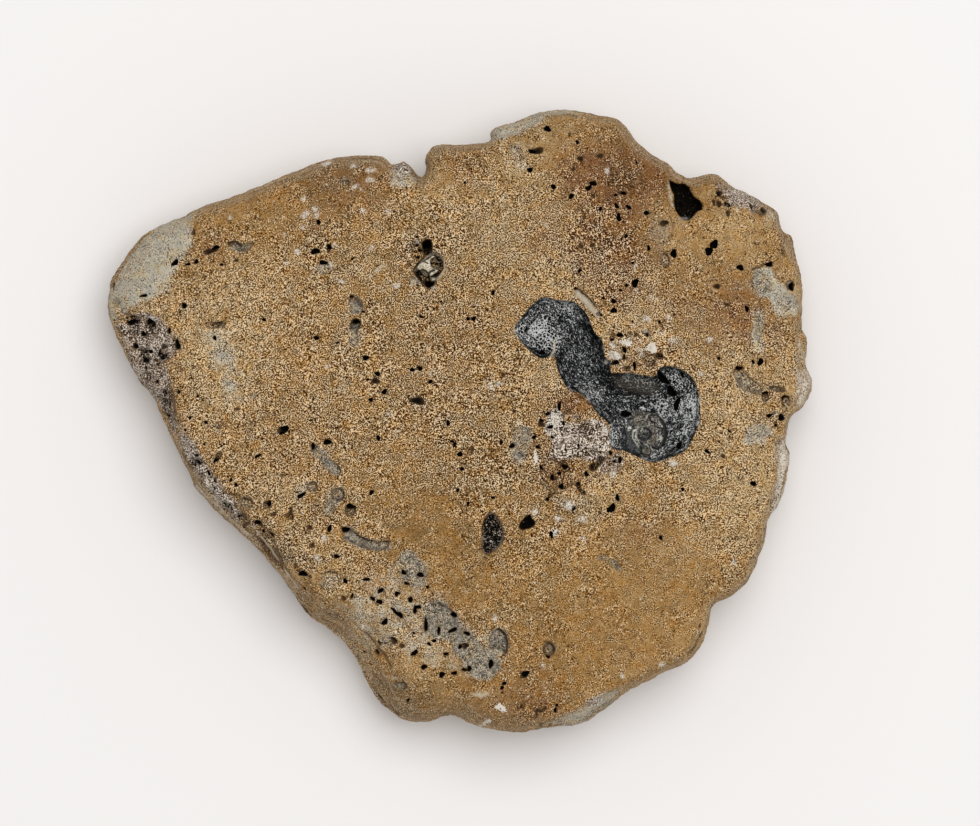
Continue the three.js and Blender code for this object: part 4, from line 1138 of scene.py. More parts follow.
# Pale chips of shell and lime: (u, v, width, length, turn in degrees).
FLECKS = [
    (304, 217, 5, 3, 20), (308, 214, 6, 4, 0), (315, 211, 7, 4, 10), (318, 216, 4, 4, 0),
    (286, 235, 3, 3, 0), (298, 253, 5, 5, 0), (287, 264, 3, 3, 0), (231, 218, 3, 3, 0),
    (327, 164, 8, 5, 10), (354, 167, 5, 3, 0), (371, 171, 8, 4, 0), (370, 181, 8, 5, 0),
    (355, 188, 7, 4, 10), (362, 191, 3, 3, 0), (364, 211, 5, 4, 0), (389, 212, 4, 3, 0),
    (397, 286, 6, 4, 0), (442, 309, 3, 2, 0), (336, 246, 4, 4, 0), (303, 228, 3, 3, 0),
    (337, 280, 3, 2, 0), (342, 282, 4, 3, 0), (332, 266, 4, 4, 0), (372, 248, 3, 3, 0),
    (622, 674, 4, 5, 0), (733, 562, 4, 4, 0), (660, 664, 5, 6, 0), (673, 465, 6, 5, 0),
    (671, 462, 4, 6, 0), (774, 413, 3, 3, 0), (613, 473, 5, 5, 0), (651, 297, 3, 4, 0),
    (654, 299, 6, 3, 0), (646, 319, 7, 5, 0), (633, 326, 4, 4, 0), (670, 341, 4, 5, 0),
    (674, 341, 4, 3, 0), (709, 340, 6, 5, 0), (535, 512, 5, 6, 0), (417, 243, 3, 4, 0),
    (726, 206, 2, 2, 0), (636, 290, 4, 3, 0), (635, 267, 4, 3, 0), (640, 352, 3, 9, 20),
    (605, 431, 6, 7, 0), (700, 374, 5, 4, 0), (558, 518, 6, 5, 0), (581, 519, 9, 5, 0),
    (583, 538, 5, 4, 0), (519, 423, 4, 3, 0), (327, 367, 3, 3, 0), (389, 414, 3, 3, 0),
    (433, 288, 3, 4, -30), (434, 280, 4, 3, 0), (668, 318, 3, 4, 0), (684, 219, 8, 2, 0),
    (362, 626, 4, 4, 0), (543, 665, 4, 4, 0), (495, 618, 4, 5, 0), (606, 172, 5, 5, 0),
    (305, 200, 3, 3, 0), (645, 332, 5, 3, 0), (660, 334, 3, 3, 0), (325, 537, 6, 5, 0),
    (318, 557, 5, 4, 0), (490, 386, 4, 4, 0), (612, 345, 5, 7, 0), (618, 357, 6, 5, 0),
    (629, 345, 5, 6, 0), (606, 362, 4, 4, 0), (640, 342, 4, 3, 0), (569, 505, 8, 6, 0),
    (498, 384, 4, 4, 0), (553, 416, 8, 6, 0),
]

# Lines in the hollow's mineral and on the ammonite: (width in squares, points). Among the dark ones
# is painted shadow: the gap round the ammonite's right side and the deep band under the upper wall.
DARK_LINES = [
    (1.7, [(639, 409), (641, 411), (648, 412), (655, 413), (658, 415)]),
    (1.6, [(650, 415), (655, 415)]),
    (1.6, [(648, 416), (649, 419), (651, 422), (655, 423)]),
    (1.8, [(655, 414), (660, 418), (663, 422)]),
    (3.4, [(661, 420), (664, 426), (665, 431)]),
    (3.4, [(665, 431), (665, 436), (664, 441), (662, 445)]),
    (1.8, [(663, 445), (660, 447), (656, 449), (652, 447)]),
    (1.2, [(654, 424), (655, 426), (657, 428), (661, 428), (662, 431), (661, 434), (663, 437)]),
    (2.0, [(644, 428), (648, 429), (650, 432), (650, 435), (648, 438), (645, 440), (641, 440)]),
    (2.3, [(638, 436), (639, 438), (642, 439)]),
    (1.6, [(643, 434), (646, 435), (647, 433)]),
    (2.1, [(624, 426), (624, 430), (622, 434), (621, 440), (621, 446), (623, 449)]),
    (1.8, [(623, 449), (627, 451), (631, 454), (636, 455), (640, 454)]),
    (1.6, [(640, 446), (641, 450), (640, 454)]),
    (1.6, [(641, 453), (645, 457), (649, 455)]),
    (2.1, [(613, 425), (616, 429), (619, 433), (619, 438), (618, 445)]),
    (1.0, [(636, 441), (639, 444), (642, 448)]),
    (1.3, [(639, 441), (642, 445)]),
    (1.8, [(618, 388), (634, 391), (650, 394)]),
    (1.3, [(612, 384), (630, 383), (648, 386)]),
]
PALE_LINES = [
    (1.8, [(639, 408), (644, 409), (649, 410)]),
    (1.0, [(646, 418), (647, 415), (650, 413), (654, 413), (658, 415), (661, 418), (665, 423)]),
    (0.8, [(659, 413), (663, 418), (667, 424)]),
    (0.9, [(633, 430), (632, 434), (632, 438), (635, 443), (638, 447)]),
    (0.8, [(635, 439), (638, 443), (641, 447)]),
    (0.7, [(636, 431), (635, 435), (636, 438)]),
    (0.8, [(650, 447), (652, 450), (657, 451), (662, 450), (666, 446)]),
    (1.0, [(645, 458), (650, 455), (652, 452)]),
    (2.4, [(628, 428), (630, 428)]),
    (2.2, [(633, 431), (635, 430)]),
    (1.2, [(611, 427), (612, 434), (612, 441), (613, 448)]),
    (0.9, [(615, 427), (618, 431), (621, 435), (621, 441), (620, 448)]),
    (0.8, [(655, 424), (656, 428), (658, 429)]),
    (0.8, [(640, 431), (642, 429)]),
    (1.6, [(690, 402), (694, 407), (695, 414)]),
    (1.2, [(697, 410), (698, 418), (696, 426)]),
    (1.2, [(669, 414), (674, 420), (676, 423)]),
    (1.2, [(680, 411), (684, 418), (685, 424)]),
    (1.4, [(676, 434), (682, 432), (686, 436)]),
    (1.2, [(657, 404), (663, 404), (668, 402)]),
    (1.2, [(606, 424), (610, 425), (613, 424)]),
]

# Smooth parts of the ammonite, and brown ones.
COIL_DARK = [
    (1.0, 0.12, [(622, 430), (628, 431), (631, 437), (635, 443), (640, 449), (640, 454), (635, 455),
                 (626, 452), (621, 446)]),
    (0.7, 0.12, [(641, 429), (647, 429), (650, 433), (648, 438), (641, 440), (638, 435)]),
]
COIL_BROWN = [
    (0.55, 0.6, [(612, 376), (630, 376), (652, 380), (660, 388), (650, 395), (632, 392), (616, 386)]),
    (1.0, 0.12, [(650, 424), (655, 426), (656, 440), (652, 446), (648, 441), (651, 433)]),
    (0.8, 0.12, [(641, 448), (650, 447), (651, 455), (645, 457), (641, 453)]),
    (0.8, 0.20, [(633, 410), (652, 413), (648, 420), (648, 425), (638, 427), (630, 422)]),
    (0.6, 0.12, [(650, 416), (656, 416), (658, 422), (655, 424), (651, 421)]),
]

# The attribute that carries each kind of marking.
PATCHES = {
    "grey": GREY_GROUND, "slate": SLATE_GROUND, "crust": CRUST_GROUND, "smoke": SMOKE_GROUND,
    "chalk": CHALK_GROUND, "body": COIL_DARK, "stained": COIL_BROWN,
}
LINES = {"crack_and_shadow": CRACKS_AND_SHADOW_LINES, "streak": STREAKS, "dark_line": DARK_LINES, "pale_line": PALE_LINES}
ROUND_SPOTS = {
    "reddish": RED_GROUND, "dim": DARK_GROUND, "pale": PALE_GROUND, "golden": GOLDEN_GROUND,
    "worn": WORN_GROUND, "tone": TONE_GROUND, "shade": SHADE_GROUND,
}


def plainness(x, y, z):
    """1 on the walls and underneath, less on the face, down to 0 at its finest markings."""
    detail = np.maximum.reduce([
        patch(x, y, HOLLOW_RIM, 1.0),
        line_share(x, y, CRACKS_AND_SHADOW_LINES + STREAKS, 0.7),
        spots(x, y, FLECKS, 0.6),
        np.clip(1.6 * spots(x, y, BORINGS + DENTS, 0.6), 0, 1),
        0.7 * painted(x, y, [(1, 1.2, outline) for _, _, outline in SHARP_VUGS]),
        0.6 * painted(x, y, CHALK_GROUND),
        0.5 * painted(x, y, CRUST_GROUND)])
    return np.where(z > GIRTH_HEIGHT - 2, 0.4 * (1 - detail), 1)


def mark_stone(thing, stone, undrilled):
    """Gives each point of the stone the values that its colours go by."""
    x, y, z = points_of(thing)
    hollow_edge = inside_distance(x, y, smooth_closed(placed(HOLLOW_RIM), 2))
    vug, gutter = vug_depth(x, y) + crumble_depth(x, y), gutter_depth(x, y)
    give(thing, "bored", stone.sampled(undrilled, x, y, z))
    give(thing, "hollow", np.clip(hollow_edge, -2, 6))
    # Steep ground outside the hollow: the stone's sides, and the walls of pits in its face, which get
    # painted shade.
    up, outside = facing_up(thing), hollow_edge < -1
    recessed = np.maximum(vug, gutter) > 0.1
    high = smoothstep(GIRTH_HEIGHT + 3, GIRTH_HEIGHT + 9, z)
    give(thing, "side", (1 - smoothstep(0.3, 0.8, up)) * outside * ~recessed)
    # wall marks where the walls of pits and gutters are darkened as painted shade.
    give(thing, "wall", (1 - smoothstep(0.4, 0.92, up)) * outside * recessed * high)
    # Down the sides the markings stray to and fro, and they end at uneven heights.
    uneven_z = z + 9 * rough_noise(x, y, z, 8, SEED["ends"])
    upper = smoothstep(GIRTH_HEIGHT - 3, GIRTH_HEIGHT + 3, uneven_z)
    stray = 6 * (1 - smoothstep(GIRTH_HEIGHT + 4, GIRTH_HEIGHT + 11, z))
    stray_x = stray * rough_noise(x, y, z, 5, SEED["stray x"])
    stray_y = stray * rough_noise(x, y, z, 5, SEED["stray y"])
    x, y = x + stray_x, y + stray_y
    for name, grounds in PATCHES.items():
        give(thing, name, painted(x, y, grounds) * upper)
    for name, lines in LINES.items():
        give(thing, name, line_share(x, y, lines) * upper)
    give(thing, "lump", lumpiness(x, y))
    give(thing, "gutter", np.clip(gutter / 0.5, 0, 1) * upper)
    give(thing, "vug", np.clip(vug, 0, 2.7) * upper)
    give(thing, "fleck", spots(x, y, FLECKS) * upper)
    for name, places in ROUND_SPOTS.items():
        give(thing, name, np.clip(blobs(x, y, places), 0, 1) * upper)


def build_stone():
    stone = StoneField()
    undrilled = stone.values.copy()
    drill_all(stone)
    points, quads = stone.mesh_arrays()
    points = np.clip(points, [-LENGTH / 2, -DEPTH / 2, 0], [LENGTH / 2, DEPTH / 2, THICKNESS])
    thing = make_object("stone", points, quads)
    thin_out(thing, STONE_FACES, plainness(*points_of(thing)))
    mark_stone(thing, stone, undrilled)
    return dress(thing, "stone_slab")


# ---------------------------------------------------------------------------------------------
# Materials
# ---------------------------------------------------------------------------------------------
def colour(red, green, blue):
    """A colour given as it looks on a screen, 0 to 255, as light."""
    channels = [value / 255 for value in (red, green, blue)]
    return (*(c / 12.92 if c <= 0.04045 else ((c + 0.055) / 1.055) ** 2.4 for c in channels), 1)


class Recipe:
    """A material under construction: its methods add nodes and give their outputs."""

    def __init__(self, name):
        self.material = bpy.data.materials.new(name)
        self.material.use_nodes = True
        self.tree = self.material.node_tree
        self.shader = self.tree.nodes["Principled BSDF"]
        metres = self.node("TexCoord", {}).outputs["Object"]
        self.place = self.node("VectorMath", {0: metres, "Scale": 1000}, operation="SCALE").outputs[0]

    def set(self, socket, value):
        if isinstance(value, bpy.types.NodeSocket):
            self.tree.links.new(value, socket)
        else:
            socket.default_value = value

    def node(self, kind, values, **settings):
        """A new node with these settings, and these values or outputs in its sockets."""
        node = self.tree.nodes.new("ShaderNode" + kind)
        for name, setting in settings.items():
            setattr(node, name, setting)
        for socket, value in values.items():
            self.set(node.inputs[socket], value)
        return node

    def attribute(self, name):
        return self.node("Attribute", {}, attribute_name=name).outputs["Fac"]

    def noise(self, size, detail=2, rough=0.5, shift=0, stretch=(1, 1, 1), along=None):
        """Soft noise, 0 to 1, whose spots are about size mm across.

        With along, (attribute, factor), it also changes with that attribute, so that it lies in
        strokes along the attribute's level lines.
        """
        place = self.place
        if along is not None:
            name, factor = along
            lift = {0: self.attribute(name), 1: (0, 0, factor), 2: place}
            place = self.node("VectorMath", lift, operation="MULTIPLY_ADD").outputs[0]
        moved = self.node("Mapping", {
            "Vector": place, "Location": (shift, 2 * shift, -shift), "Scale": stretch})
        return self.node("TexNoise", {
            "Vector": moved.outputs[0], "Scale": 1 / size, "Detail": detail, "Roughness": rough,
        }).outputs["Fac"]

    def cells(self, size, feature="F1", shift=0, output="Distance"):
        """Cells of about size mm: the distance in each, or a random colour for it."""
        moved = self.node("Mapping", {
            "Vector": self.place, "Location": (shift, -shift, 2 * shift)})
        return self.node("TexVoronoi", {
            "Vector": moved.outputs[0], "Scale": 1 / size}, feature=feature).outputs[output]

    def ramp(self, value, low, high, start=0.0, end=1.0):
        """Goes smoothly from start to end as the value goes from low to high."""
        return self.node("MapRange", {
            "Value": value, "From Min": low, "From Max": high, "To Min": start, "To Max": end,
        }, interpolation_type="SMOOTHSTEP").outputs["Result"]

    def math(self, operation, first, second):
        return self.node("Math", {0: first, 1: second}, operation=operation).outputs[0]

    def times(self, *values):
        result = values[0]
        for value in values[1:]:
            result = self.math("MULTIPLY", result, value)
        return result

    def plus(self, *values):
        result = values[0]
        for value in values[1:]:
            result = self.math("ADD", result, value)
        return result

    def swing(self, value, size):
        """A value from 0 to 1 turned into one around 0, size times as wide."""
        return self.times(self.math("SUBTRACT", value, 0.5), size)

    def blend(self, share, under, over, kind="MIX"):
        """The colour under, with the given share of the colour over on it."""
        node = self.node("Mix", {}, data_type="RGBA", blend_type=kind)
        share_in, under_in, over_in = node.inputs[0], node.inputs[6], node.inputs[7]
        for socket, value in ((share_in, share), (under_in, under), (over_in, over)):
            self.set(socket, value)
        return node.outputs[2]

    def stops(self, value, colours):
        """The colour at a value, between stops of (value, colour)."""
        node = self.node("ValToRGB", {0: value})
        marks = node.color_ramp.elements
        for number, (position, tint) in enumerate(colours):
            mark = marks[number] if number < 2 else marks.new(position)
            mark.position = position
            mark.color = tint
        return node.outputs[0]

    def bump(self, height, depth, under=None):
        """A bump of the given depth in mm, on the bump under it."""
        node = self.node("Bump", {"Height": height, "Distance": depth / 1000})
        if under is not None:
            self.set(node.inputs["Normal"], under)
        return node.outputs[0]

    def finish(self, base, roughness, height, depth, under=None):
        """Sets the shader's colour, roughness and bump, and gives the material."""
        self.set(self.shader.inputs["Base Color"], base)
        self.shader.inputs["Roughness"].default_value = roughness
        self.set(self.shader.inputs["Normal"], self.bump(height, depth, under))
        return self.material


# Colours of the stone, as they look in white light. They and the strength of the grain were
# tuned until averages measured in the render came near those measured in the photo.
BROWN = colour(140, 107, 62)
UMBER = colour(90, 62, 34)
OCHRE = colour(163, 123, 70)
RUST = colour(120, 76, 46)
TAN = colour(192, 163, 118)
GREY = colour(188, 181, 164)
SLATE = colour(108, 104, 96)
SLATE_PALE = colour(168, 158, 140)
SMOKE = colour(126, 100, 70)
CHALK = colour(226, 218, 204)
CREAM = colour(240, 214, 174)
STREAK = colour(196, 184, 162)
# The near black and the dark brown next serve mostly as painted shade: deep in borings, vugs and
# shadow lines, and on the walls of pits. They also colour dark lines and a scatter of specks.
PIT = colour(10, 8, 5)
PIT_SHADE_AND_SPECK = colour(80, 56, 32)
# The ground's colour is multiplied by the first of these in dark grains, and by the others here
# and there.
GRAIN_SHADE = colour(92, 62, 22)
WARM = colour(255, 244, 222)
COOL = colour(237, 241, 246)
# The beds on the stone's sides.
BED_DARK = colour(128, 103, 74)
BED_PALE = colour(196, 174, 142)
# Crumbly ground, from its gaps to the tops of its lumps: its own dark and pale crumbs, with
# painted shade in the gaps and painted light on the tops.
CRUMBS = [
    (0.26, colour(22, 15, 9)), (0.42, colour(104, 82, 60)), (0.56, colour(160, 142, 122)),
    (0.76, colour(236, 226, 214)),
]
# The hollow's greys, from its darkest cells to the pale lines round them.
HOLLOW_GREYS = [
    (0.14, colour(8, 8, 8)), (0.36, colour(44, 45, 46)), (0.56, colour(98, 100, 100)),
    (0.80, colour(194, 195, 192)),
]


class StoneRecipe(Recipe):
    """The limestone under construction, with the patterns that its colours share."""

    def __init__(self):
        super().__init__("limestone")
        self.mottle = self.noise(7, detail=5, rough=0.62)
        self.patchy = self.noise(2.4, detail=3, rough=0.6, shift=11)
        self.uneven = self.math("SUBTRACT", self.patchy, 0.5)
        self.fine = self.noise(0.22, detail=0)
        self.crisp = self.cells(0.2, output="Color")
        self.grain = self.plus(self.times(self.fine, 0.8), self.times(self.crisp, 0.2))
        self.speckled = self.swing(self.grain, 1.2)

    def ragged(self, name, unevenness, low, high):
        """The share of one kind of ground, with an uneven, speckled edge."""
        uneven = self.times(self.uneven, unevenness)
        return self.ramp(self.plus(self.attribute(name), uneven, self.speckled), low, high)


def brown_ground(r):
    """Brown ground with golden, pale, red and dark stains."""
    base = r.blend(r.ramp(r.mottle, 0.38, 0.62), BROWN, OCHRE)
    base = r.blend(r.ramp(r.patchy, 0.5, 0.72, 0, 0.5), base, TAN)
    base = r.blend(r.ramp(r.patchy, 0.44, 0.26, 0, 0.4), base, UMBER)
    # pale also carries painted light on the right-hand rim, and dim painted shade down the lower-left
    # flank.
    for name, tint in (("golden", OCHRE), ("pale", TAN), ("reddish", RUST), ("dim", UMBER)):
        share = r.times(r.attribute(name), r.ramp(r.patchy, 0.3, 0.65, 0.4, 0.95))
        base = r.blend(share, base, tint)
    return base


def with_grey_ground(r, base):
    """Adds the smoky and grey ground, and the dark grey of gutters and slaty patches."""
    for name, tint, unevenness in (("smoke", SMOKE, 0.8), ("grey", GREY, 1.1)):
        base = r.blend(r.ragged(name, unevenness, 0.2, 0.8), base, tint)
    slate = r.blend(r.ramp(r.noise(0.8, 3, 0.6, shift=71), 0.38, 0.62), SLATE, SLATE_PALE)
    gutter = r.times(r.attribute("gutter"), r.ramp(r.patchy, 0.35, 0.65, 0.4, 0.9))
    base = r.blend(gutter, base, slate)
    return r.blend(r.ragged("slate", 0.9, 0.25, 0.7), base, slate)


def with_beds(r, base):
    """Adds the beds that show on the stone's sides."""
    beds = r.noise(1.0, detail=3, rough=0.7, shift=23, stretch=(0.07, 0.07, 1))
    bands = r.blend(r.ramp(beds, 0.32, 0.68), BED_DARK, BED_PALE)
    lime = r.math("MAXIMUM", r.attribute("pale"), r.attribute("grey"))
    return r.blend(r.times(r.attribute("side"), r.ramp(lime, 0, 1, 0.65, 0.2)), base, bands)


def with_grains(r, base):
    """Makes some grains darker and some creamy, less so where the ground is worn."""
    busy = r.ramp(r.noise(3.2, 3, 0.6, shift=47), 0.32, 0.68, 0.6, 1.4)
    lime = r.math("MAXIMUM", r.attribute("grey"), r.attribute("slate"))
    smooth = r.math("MAXIMUM", r.attribute("worn"), lime)
    strength = r.times(busy, r.ramp(smooth, 0, 1, 12.5, 5.4))
    swing = r.plus(r.swing(r.grain, strength), r.swing(r.noise(1.2, 3, 0.6, shift=29), 1.2))
    base = r.blend(r.ramp(swing, 0.0, -1.2), base, GRAIN_SHADE, "MULTIPLY")
    base = r.blend(r.ramp(swing, 0.3, 1.8, 0, 0.9), base, CREAM)
    hue = r.noise(2.0, 3, 0.6, shift=61)
    base = r.blend(r.ramp(hue, 0.48, 0.66), base, WARM, "MULTIPLY")
    return r.blend(r.ramp(hue, 0.48, 0.34), base, COOL, "MULTIPLY")


def with_crust(r, base):
    """Adds dark brown painted shade on the walls of pits, the crust, the white lime, and a scatter of
    specks.
    """
    base = r.blend(r.times(r.attribute("wall"), 0.75), base, PIT_SHADE_AND_SPECK)
    # The crumbs go darker in the gaps and paler on the lumps: partly painted shade and light.
    crumbs = r.plus(0.52, r.times(r.attribute("lump"), 0.2),
                    r.swing(r.noise(0.34, 1, 0.6, shift=13), 1.9), r.swing(r.grain, 0.9))
    base = r.blend(r.ragged("crust", 0.8, 0.25, 0.75), base, r.stops(crumbs, CRUMBS))
    base = r.blend(r.times(r.ragged("chalk", 0.6, 0.35, 0.65), 0.9), base, CHALK)
    base = r.blend(r.ramp(r.cells(2.1, shift=5), 0.12, 0.06, 0, 0.8), base, PIT_SHADE_AND_SPECK)
    return r.blend(r.ramp(r.cells(3.3, shift=17), 0.07, 0.04, 0, 0.7), base, CHALK)


def hollow_grey(r):
    """Dark grey mineral netted with paler lines; tone says how pale, with painted light on the
    upper wall, and shade how dark, with painted shade in the deep channel.
    """
    tone = r.attribute("tone")
    net = r.ramp(r.cells(0.66, "DISTANCE_TO_EDGE", shift=3), 0.0, 0.24, 1.0, -0.6)
    strokes = r.swing(r.noise(1.1, 2, 0.6, shift=41, along=("hollow", 4)), 1.6)
    swing = r.plus(r.swing(r.fine, 1.3), r.swing(r.crisp, 0.6), r.times(net, tone, 0.5))
    swing = r.times(swing, r.ramp(tone, 0, 1, 0.85, 1.4),
                    r.ramp(r.attribute("hollow"), 0.3, 0.9, 0.6, 1.0))
    paleness = r.plus(swing, r.ramp(tone, 0, 1, 0.35, 0.43), r.swing(r.mottle, 0.9), strokes,
                      r.times(r.attribute("shade"), -0.22), r.times(r.attribute("pale_line"), 0.3))
    grey = r.stops(paleness, HOLLOW_GREYS)
    # The dark lines include painted shadow in the deep channel and round the ammonite.
    grey = r.blend(r.times(r.attribute("dark_line"), 0.85), grey, PIT)
    grey = r.blend(r.times(r.attribute("stained"), 0.7), grey, COIL_STAIN)
    return r.blend(r.times(r.attribute("body"), 0.7), grey, COIL_BODY)


def with_pits(r, base, in_hollow):
    """Adds the dark borings, vugs and cracks, with painted shade growing with depth, and the pale
    streaks and chips.
    """
    # Borings turn dark brown, then near black, the deeper they go: dark infill and painted shade.
    bored = r.plus(r.attribute("bored"), r.times(r.uneven, 0.2))
    wall = r.times(r.ramp(bored, 0.05, 0.35, 0, 0.85), r.math("SUBTRACT", 1.0, in_hollow))
    base = r.blend(wall, base, PIT_SHADE_AND_SPECK)
    base = r.blend(r.ramp(bored, 0.25, 0.8), base, PIT)
    # Vugs and crumbled holes turn near black with depth: painted shade over their dark floors.
    sunk = r.plus(r.attribute("vug"), r.swing(r.noise(0.36, 2, 0.6, shift=51), 5.0))
    base = r.blend(r.ramp(sunk, 1.2, 2.2), base, PIT)
    # Near-black lines: cracks, and painted shadow along the edges of gutters, pits and ledges.
    crack_and_shadow = r.times(r.attribute("crack_and_shadow"), r.ramp(r.patchy, 0.35, 0.6, 0.2, 0.8))
    base = r.blend(crack_and_shadow, base, PIT)
    base = r.blend(r.times(r.attribute("streak"), 0.8), base, STREAK)
    fleck = r.times(r.attribute("fleck"), r.ramp(r.grain, 0.35, 0.6, 0.3, 0.95))
    return r.blend(fleck, base, CHALK)


def limestone():
    r = StoneRecipe()
    base = brown_ground(r)
    base = with_grey_ground(r, base)
    base = with_beds(r, base)
    base = with_grains(r, base)
    base = with_crust(r, base)
    in_hollow = r.ramp(r.plus(r.attribute("hollow"), r.times(r.uneven, 0.3)), -0.1, 0.1)
    base = r.blend(in_hollow, base, hollow_grey(r))
    base = with_pits(r, base, in_hollow)
    r.shader.inputs["Specular IOR Level"].default_value = 0.08
    lumps = r.bump(r.noise(1.6, 3, 0.6, shift=31), 0.2)
    return r.finish(base, 0.9, r.grain, 0.14, lumps)


# ---------------------------------------------------------------------------------------------
# The ammonite in the hollow
# ---------------------------------------------------------------------------------------------
AMMONITE_VOXEL = 0.07
AMMONITE_FACES = 60_000
RIBS_PER_TURN = 11
COIL_BASE = 1.0  # height of the hollow's floor under the coil, from the bottom of its box
WHORL_GROWTH = 1.85  # a whorl's radius against the one inside it
# The outermost whorl: (bearing in degrees, radius in squares). Its mouth is at the last one.
OUTER_WHORL = [
    (-120, 14), (-90, 14.6), (-60, 15.8), (-30, 19), (0, 21.7), (30, 22.2), (60, 22.6),
    (90, 23.2), (135, 24), (180, 24.8), (225, 25.5), (240, 25.8),
]
COIL_RIM = [
    (626, 424), (631, 417), (638, 414), (648, 413), (657, 414), (663, 419), (666, 426), (667, 434),
    (665, 442), (660, 449), (653, 452), (649, 456), (641, 456), (633, 454), (626, 451), (624, 444),
    (624, 434),
]
COIL_CAST = colour(62, 61, 58)
COIL_PALE_CAST = colour(112, 109, 101)
COIL_STAIN = colour(84, 77, 66)
COIL_BODY = colour(42, 44, 46)
COIL_PALE_LINE = colour(200, 196, 184)
COIL_DARK_LINE = colour(8, 8, 7)


def coil(x, y):
    """Where a point lies in the coil: whorls in from the outermost, bearing and radius."""
    bearings, radii = column_arrays(OUTER_WHORL)
    bearing = np.degrees(np.arctan2(y, x))
    bearing = np.where(bearing < bearings[0], bearing + 360, bearing)
    outer = np.interp(bearing, bearings, radii) * SQUARE
    radius = np.maximum(np.hypot(x, y), 0.05)
    return np.log(outer / radius) / math.log(WHORL_GROWTH), bearing, radius


def ammonite_relief(x, y):
    """Height of the coil's face over the hollow's floor, in mm, at places on the slab."""
    at_x, at_y = place(*AMMONITE_PLACE)
    whorls_in, bearing, radius = coil(x - at_x, y - at_y)
    across = whorls_in - np.floor(whorls_in)
    whorl = np.clip(np.sin(math.pi * np.clip(across, 0, 1)), 0, 1) ** 0.45
    turn_back = np.floor(whorls_in) * 360 + (OUTER_WHORL[-1][0] - bearing)
    rib = np.cos(np.radians(turn_back) * RIBS_PER_TURN) * whorl
    size = 0.15 + 0.3 * smoothstep(0.3, 3.5, radius)
    height = size * whorl + 0.04 * rib * smoothstep(0.8, 2.2, radius)
    lines = 0.12 * line_share(x, y, PALE_LINES) - 0.3 * line_share(x, y, DARK_LINES)
    uneven = 0.07 * flat_noise(x, y, 0.9, SEED["coil face"])
    return np.where(whorls_in > 0, height, 0) + lines + uneven


def outline_in_box(outline, low, high):
    """The outline as a smooth curve, fitted to the box's length and depth."""
    rim = smooth_closed(placed(outline), 3)
    middle = (rim.min(axis=0) + rim.max(axis=0)) / 2
    span = rim.max(axis=0) - rim.min(axis=0)
    return (rim - middle) * (high - low)[:2] / span + (low + high)[:2] / 2


def box_grid(node, voxel):
    """The CAD node's box in mm, a voxel in from its faces, and a grid of points in it."""
    low, high = (np.array(corner) * 1000 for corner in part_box(node))
    counts = np.ceil((high - low) / voxel).astype(int) - 1
    low = (low + high) / 2 - counts * voxel / 2
    high = low + counts * voxel
    axes = [low[i] + voxel * np.arange(counts[i] + 1) for i in range(3)]
    return low, high, np.meshgrid(*axes, indexing="ij")


def cut_from_top(top, edge, low, grid, voxel):
    """The mesh of a solid under a height map, inside an outline."""
    slope = np.gradient(top, voxel)
    steep = np.sqrt(1 + slope[0] ** 2 + slope[1] ** 2)
    z = grid[2]
    values = np.maximum.reduce([
        (z - top[:, :, None]) / steep[:, :, None], -edge[:, :, None] + 0 * z,
        low[2] + 2 * voxel - z])
    return mesh_of(values, low, voxel)


def dress(thing, node):
    """Smooth shading, and the thing takes the place of the CAD node."""
    thing.data.polygons.foreach_set("use_smooth", np.ones(len(thing.data.polygons), bool))
    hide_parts(node)
    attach(thing, "root")
    return thing


def build_ammonite():
    low, high, grid = box_grid("ammonite", AMMONITE_VOXEL)
    x, y = grid[0][:, :, 0], grid[1][:, :, 0]
    margin = 2 * AMMONITE_VOXEL
    edge = inside_distance(x, y, outline_in_box(COIL_RIM, low + margin, high - margin))
    edge = edge + 0.06 * flat_noise(x, y, 0.8, SEED["coil rim"])
    fall = 0.35 * (1 - np.clip(edge / 0.4, 0, 1)) ** 2
    top = np.minimum(low[2] + COIL_BASE + ammonite_relief(x, y) - fall, high[2] - margin)
    points, quads = cut_from_top(top, edge, low, grid, AMMONITE_VOXEL)
    thing = make_object("ammonite_coil", points, quads)
    thin_out(thing, AMMONITE_FACES)
    px, py, _ = points_of(thing)
    for name in ("dark_line", "pale_line"):
        give(thing, name, line_share(px, py, LINES[name]))
    for name in ("body", "stained"):
        give(thing, name, painted(px, py, PATCHES[name]))
    return dress(thing, "ammonite")


def dark_fossil():
    r = Recipe("dark_fossil")
    grain = r.plus(r.times(r.noise(0.25, detail=0), 0.5),
                   r.times(r.cells(0.22, output="Color"), 0.5))
    cast = r.blend(r.ramp(r.noise(1.3, 3, 0.6, shift=7), 0.38, 0.62), COIL_CAST, COIL_PALE_CAST)
    cast = r.blend(r.times(r.attribute("stained"), 0.8), cast, COIL_STAIN)
    cast = r.blend(r.times(r.attribute("body"), 0.85), cast, COIL_BODY)
    smooth = r.math("MAXIMUM", r.attribute("stained"), r.attribute("body"))
    swing = r.swing(grain, r.ramp(smooth, 0, 1, 14.0, 8.0))
    cast = r.blend(1.0, cast, r.math("MAXIMUM", r.plus(swing, 1.0), 0.15), "MULTIPLY")
    cast = r.blend(r.times(r.attribute("pale_line"), 0.9), cast, COIL_PALE_LINE)
    # The dark lines include painted shadow in the gap round the coil's right side.
    cast = r.blend(r.times(r.attribute("dark_line"), 0.97), cast, COIL_DARK_LINE)
    return r.finish(cast, 0.7, grain, 0.1)


